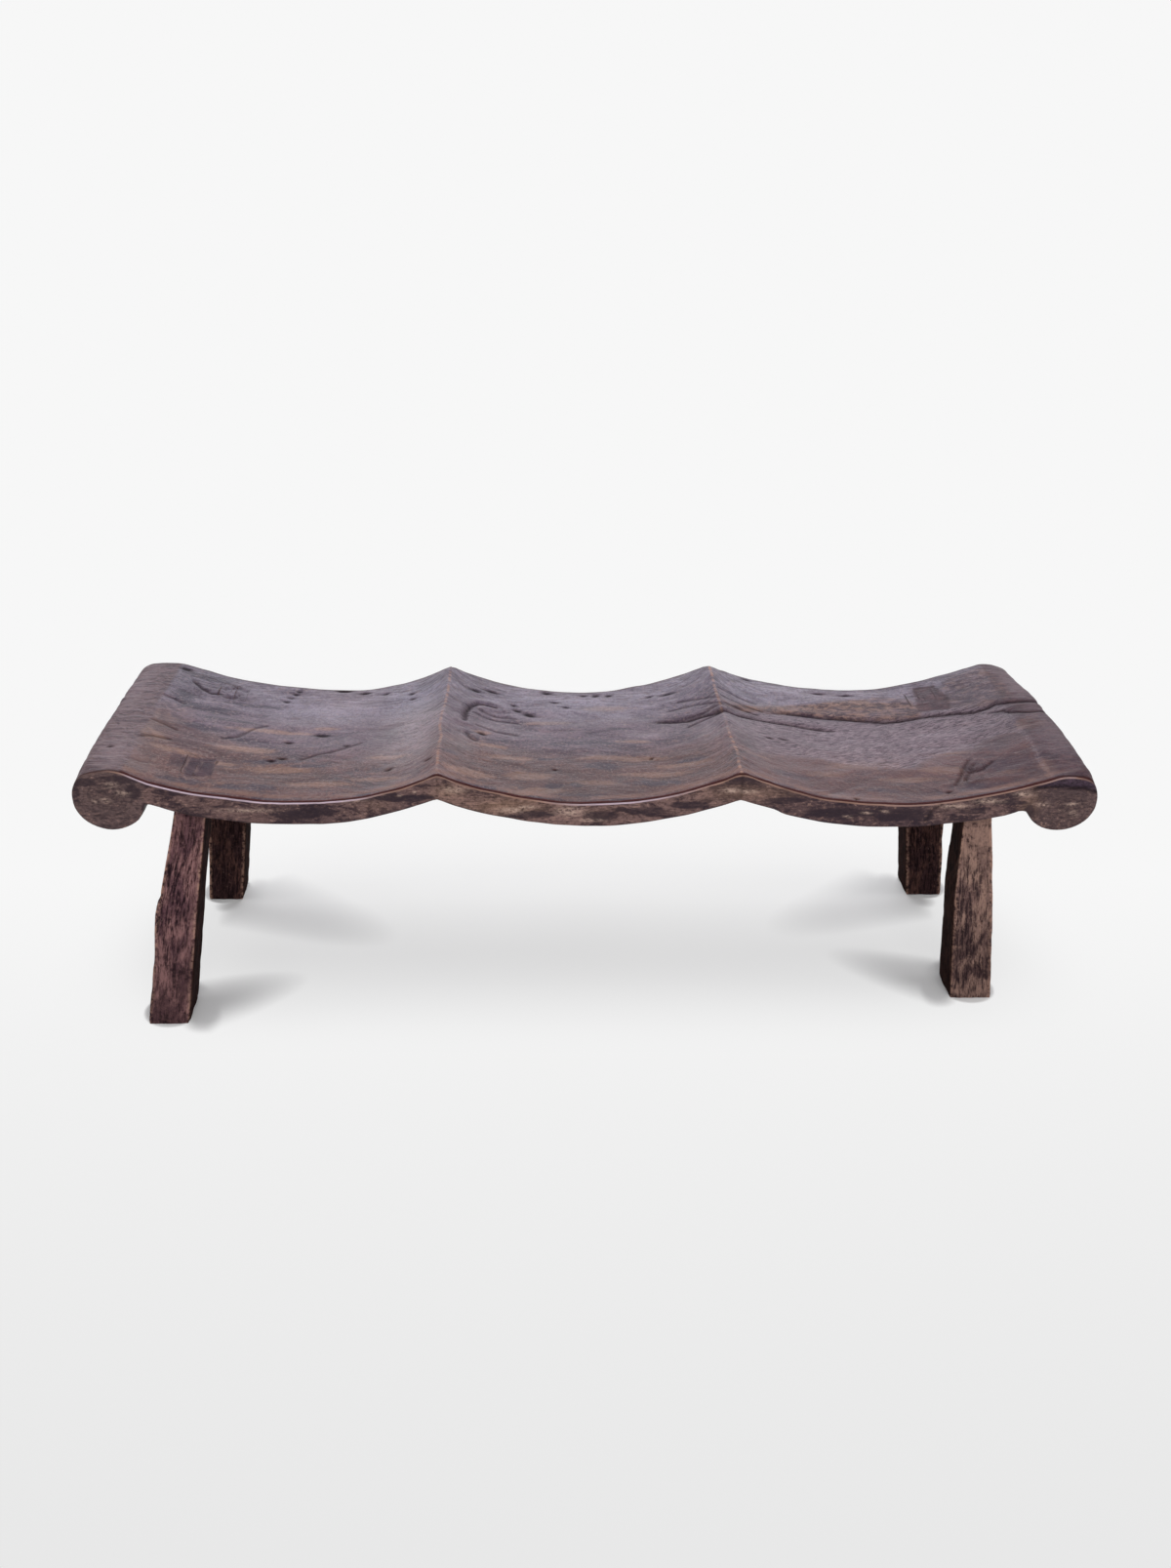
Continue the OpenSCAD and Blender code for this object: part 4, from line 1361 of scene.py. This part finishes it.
def leg_material(name, dark, mid, light, tone):
    m = Wood(name)
    grain = m.attr("grain", vector=True)
    edge, inner, rubbed_and_lit = m.attrs("edge", "inner", "rubbed_and_lit")
    streak = m.noise(grain, (250.0, 250.0, 34.0), 5.0, 0.68, 0.4, w=tone)
    fine = m.noise(grain, (700.0, 700.0, 110.0), 4.0, 0.65, 0.0, w=tone)
    broad = m.noise(grain, (34.0, 34.0, 15.0), 5.0, 0.65, 0.5, w=tone + 2)
    scuff = m.noise(grain, (110.0, 110.0, 105.0), 6.0, 0.74, 0.6, w=tone + 5)
    colour = m.mix(m.ramp(streak, 0.43, 0.56), dark, mid)
    worn = m.mul(edge, m.ramp(scuff, 0.43, 0.56))
    # painted shade: the side facing the bench's middle is nearly black
    inner_shade = m.mix(m.ramp(streak, 0.42, 0.58), col(14, 7, 7), col(52, 32, 29))
    colour = m.layers(
        colour,
        (m.ramp(broad, 0.46, 0.60), m.ramp(streak, 0.38, 0.58), light),
        (m.ramp(scuff, 0.54, 0.64), 0.62, light),
        (m.ramp(scuff, 0.44, 0.36), 0.50, dark),
        (m.ramp(fine, 0.51, 0.64), 0.75, col(28, 17, 21)),
        (m.ramp(fine, 0.40, 0.31), 0.45, col(164, 136, 128)),
        # wear, and painted light near the tops of the front legs
        (rubbed_and_lit, m.ramp(scuff, 0.36, 0.56), light),
        (worn, 0.9, col(196, 154, 136)),
        (m.attr("low"), m.ramp(broad, 0.60, 0.42, 0.25, 0.75), col(38, 26, 30)),
        (inner, 0.9, inner_shade),
    )
    rough = m.ramp(streak, 0.3, 0.7, 0.65, 0.85, False)
    m.surface(("Base Color", colour), ("Roughness", rough), ("Specular IOR Level", 0.04), ("IOR", 1.2))
    m.relief(
        (streak, 1.8),
        (fine, 0.6),
        (scuff, 1.8),
        (broad, 2.6),
    )
    return m.mat


# Build
def ease(v, start, room):
    """Values past start, eased so that they pass it by no more than room."""
    return np.where(v > start, start + room * np.tanh((v - start) / room), v)


# to stay inside the CAD box: where the top and the ends start to be eased off, and how far they go past that
TOP_FREE, TOP_ROOM = 476.0, 3.85
END_FREE, END_ROOM = SEAT_L / 2 - 4.15, 4.0
# the bar that cuts each mortise: its heights, and how much it is narrower than the tenon on each side
BAR_Z, BAR_TIGHT = (330.0, 520.0), 0.22

verts, faces = build_seat()
verts[:, 2] = ease(verts[:, 2], TOP_FREE, TOP_ROOM)
verts[:, 0] = np.sign(verts[:, 0]) * ease(np.abs(verts[:, 0]), END_FREE, END_ROOM)
seat = make_mesh("bench_seat", shift(verts), faces, seat_attributes(verts))
for leg in range(4):
    v, f = leg_shape(leg, -BAR_TIGHT, *BAR_Z)
    cut(seat, make_mesh("cutter", shift(v), f))
seat.data.materials.clear()
finish = seat_material()
seat.data.materials.append(finish)
shade_smooth(seat)
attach(seat, "root")
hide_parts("seat")

# dark, middle and light tones of each leg, and of the wedges; the rear legs share darker tones, painted
# shade from the seat above them
REAR_SHADED = (col(32, 21, 23), col(66, 46, 47), col(94, 66, 60))
LEG_TONES = (
    (col(40, 27, 33), col(105, 75, 81), col(152, 113, 112)),
    (col(61, 47, 49), col(121, 95, 91), col(164, 132, 120)),
    REAR_SHADED,
    REAR_SHADED,
)
WEDGE_TONES = (col(88, 66, 66), col(124, 98, 94), col(150, 124, 116))


def polish_end(ob):
    """The end of a tenon or wedge, flush with the saddle, has the seat's own polish."""
    ob.data.materials.append(finish)
    for face in ob.data.polygons:
        x, y, z = face.center
        if face.normal.z > 0.6 and z / MM > float(surface_z(x / MM, y / MM - SEAT_Y)) - 1.0:
            face.material_index = 1


for leg, name in enumerate(LEG_NAMES):
    v, f = leg_shape(leg)
    cx, cy, w, d = leg_line(leg, v[:, 2])
    z = v[:, 2]
    rx, ry = (v[:, 0] - cx) / (w / 2), (v[:, 1] - cy) / (d / 2)
    front = smooth(0.86, 0.95, -ry)
    rubbed_and_lit = np.zeros(len(v))
    # wear on the front faces, with painted light near the tops of the front legs where the seat's shade
    # falls
    if leg == 0:
        rubbed_and_lit = 0.45 * bump(rx - 0.8, 0.25) * bump(z - 190, 120)
        rubbed_and_lit = front * (rubbed_and_lit + 0.35 * bump(z - 40, 60) + 0.35 * bump(z - 395, 50))
    if leg == 1:
        rubbed_and_lit = 0.8 * bump(z - 335, 50) + 0.4 * bump(z - 215, 40) * bump(rx - 0.9, 0.5)
        rubbed_and_lit = front * (rubbed_and_lit + 0.3 * bump(z - 10, 14))
    attrs = {
        "grain": np.stack([v[:, 0] - cx + 200 * leg, v[:, 1] - cy, z], 1) * MM,
        "edge": smooth(0.84, 0.94, np.minimum(np.abs(rx), np.abs(ry))),
        # the side facing the bench's middle, which takes painted shade
        "inner": smooth(0.90, 0.97, -SIDES[leg][0] * rx),
        "rubbed_and_lit": rubbed_and_lit,
        "low": smooth(250, 60, z) * (0.7, 0.8, 0.2, 0.2)[leg],
        **seat_attributes(v),
    }
    ob = make_mesh("bench_leg_" + name, shift(v), f, attrs)
    kv, kf = prism(leg, WEDGE_L + KERF_BELOW, KERF_GAP, KERF_PAST)
    cut(ob, make_mesh("cutter", shift(kv), kf))
    ob.data.materials.clear()
    ob.data.materials.append(leg_material("leg_wood_" + name, *LEG_TONES[leg], 3.0 * leg))
    polish_end(ob)
    shade_smooth(ob)
    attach(ob, "root")
    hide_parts("leg_" + name)
    wv, wf = prism(leg, WEDGE_L, 0.0, -WEDGE_SHORT, conform=WEDGE_PROUD)
    wx, wy, _, _ = leg_line(leg, wv[:, 2])
    none = np.zeros(len(wv))
    attrs = {
        "grain": np.stack([wv[:, 0] - wx + 40, wv[:, 1] - wy, wv[:, 2]], 1) * MM,
        **dict.fromkeys(("edge", "inner", "rubbed_and_lit", "low"), none),
        **seat_attributes(wv),
    }
    # a little painted sheen on the polished ends of the front wedges
    attrs["painted_sheen"] = none + (0.12, 0.1, 0.0, 0.0)[leg]
    wedge = make_mesh("bench_wedge_" + name, shift(wv), wf, attrs)
    wedge.data.materials.append(leg_material("wedge_wood_" + name, *WEDGE_TONES, 40.0 + leg))
    polish_end(wedge)
    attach(wedge, "root")
    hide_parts("wedge_" + name)

# Floor, light and camera
WHITE = 0.93
# light that falls on the open floor, where 1 shows a colour as written
OPEN_FLOOR = 1.15
# how much of the shadow shows under the seat and beside the feet
SHADE_UNDER, SHADE_FEET = 0.44, 1.0
# the shadow beside each foot runs inward, towards the middle: its turn in degrees, and its reach
FOOT_SHADOWS = ((27, 0.30), (153, 0.33), (-28, 0.51), (207, 0.48))
bpy.ops.mesh.primitive_plane_add(size=60, location=(0, 0, 0))
floor = bpy.context.object
floor.name = "floor"
paint = bpy.data.materials.new("floor")
paint.use_nodes = True
m = Tree(paint.node_tree, "OutputMaterial")
spot = m.new("NewGeometry").outputs["Position"]
depth = m.parts(spot)["Y"]
tone = m.ramp(depth, -1.30, 0.25, 0.805, WHITE, False)
lit = m.math("DIVIDE", tone, OPEN_FLOOR)
far = m.ramp(m.node("VectorMath", spot, out="Value", operation="LENGTH"), 0.55, 1.0, SHADE_UNDER, 0.0)
before = m.ramp(depth, -0.35, -0.02, 0.0, 1.0)
behind = m.ramp(depth, 0.16, 0.50, 1.0, 0.15)
under = m.mul(far, m.mul(before, behind))
nearest = None
for leg, (turn, reach) in enumerate(FOOT_SHADOWS):
    fx, fy, _, _ = leg_line(leg, 0.0)
    where = (fx * MM, (fy + SEAT_Y) * MM, 0.0)
    turned, size = (0.0, 0.0, math.radians(turn)), (reach, 0.28 * reach, 1.0)
    oval = m.node("Mapping", spot, where, turned, size, vector_type="TEXTURE")
    outward = m.ramp(m.parts(oval)["X"], 0.15, -0.15, 0.0, 2.0)
    gap = m.add(m.node("VectorMath", oval, out="Value", operation="LENGTH"), outward)
    nearest = gap if nearest is None else m.math("MINIMUM", nearest, gap)
    foot = m.node("VectorMath", spot, where, out="Value", operation="DISTANCE")
    contact = m.ramp(foot, 0.046, 0.062, 0.4, 1.8)
    beside = m.ramp(foot, 0.056, 0.130, 0.06, 1.4)
    nearest = m.math("MINIMUM", nearest, m.math("MINIMUM", contact, m.add(beside, outward)))
share = m.most(under, m.ramp(nearest, 0.25, 1.25, SHADE_FEET, 0.0))
seen = m.node("MixShader", share, m.node("Emission", tone), m.node("BsdfDiffuse", lit))
bounce = m.node("BsdfDiffuse", (0.30, 0.30, 0.30, 1))
shown = m.rays("Is Camera Ray", "Is Glossy Ray")
m.put(m.out.inputs[0], m.node("MixShader", shown, bounce, seen))
floor.data.materials.append(paint)

world = bpy.data.worlds.new("studio")
bpy.context.scene.world = world
world.use_nodes = True
m = Tree(world.node_tree, "OutputWorld")
plain = m.node("Background", (WHITE, WHITE, WHITE, 1), 1.0)
height = m.parts(m.new("TexCoord").outputs["Generated"])["Z"]
soft = m.node("Background", (0.97, 0.98, 1.0, 1), m.ramp(height, -0.05, 0.7, 0.16, 0.42, False))
shown = m.rays("Is Camera Ray", "Is Glossy Ray", "Is Transmission Ray")
m.put(m.out.inputs[0], m.node("MixShader", shown, soft, plain))


def area(name, where, aim, size, power, colour=(1, 1, 1)):
    light = bpy.data.lights.new(name, "AREA")
    light.shape, light.size, light.size_y = "RECTANGLE", size[0], size[1]
    light.energy, light.color = power, colour
    ob = bpy.data.objects.new(name, light)
    bpy.context.scene.collection.objects.link(ob)
    ob.location = where
    ob.rotation_euler = (Vector(aim) - Vector(where)).to_track_quat("-Z", "Y").to_euler()
    ob.visible_camera = False


area("top", (-0.2, 1.1, 2.6), (0, 0, 0.35), (2.2, 1.0), 30)
area("front", (0.3, -3.2, 2.0), (0, 0, 0.3), (2.4, 1.2), 75, (1.0, 0.985, 0.97))
area("back", (0.0, 3.3, 1.35), (0, 0, 0.45), (4.4, 0.7), 34, (0.90, 0.90, 1.0))
area("left", (-3.1, -0.1, 1.2), (0, 0, 0.25), (0.8, 0.8), 12)
area("right", (3.1, -0.1, 1.2), (0, 0, 0.25), (0.8, 0.8), 12)

# place in m from the seat's middle, pitch in degrees, then focal length and shift in the photo's own pixels
CAMERA, PITCH = (-0.1148, -2.3644, 1.4987), 26.17
FOCAL, SHIFT, FRAME_H, SENSOR = 1480, 72.0, 1607, 36.0
cam = bpy.data.cameras.new("camera")
cam_ob = bpy.data.objects.new("camera", cam)
bpy.context.scene.collection.objects.link(cam_ob)
cam_ob.location = (CAMERA[0], CAMERA[1] + SEAT_Y * MM, CAMERA[2])
cam_ob.rotation_euler = (math.radians(90 - PITCH), 0, 0)
cam.sensor_fit, cam.sensor_width = "AUTO", SENSOR
cam.lens = SENSOR * FOCAL / FRAME_H
cam.shift_x = SHIFT / FRAME_H
cam.clip_end = 100
bpy.context.scene.camera = cam_ob
bpy.context.scene.view_settings.view_transform = "Standard"
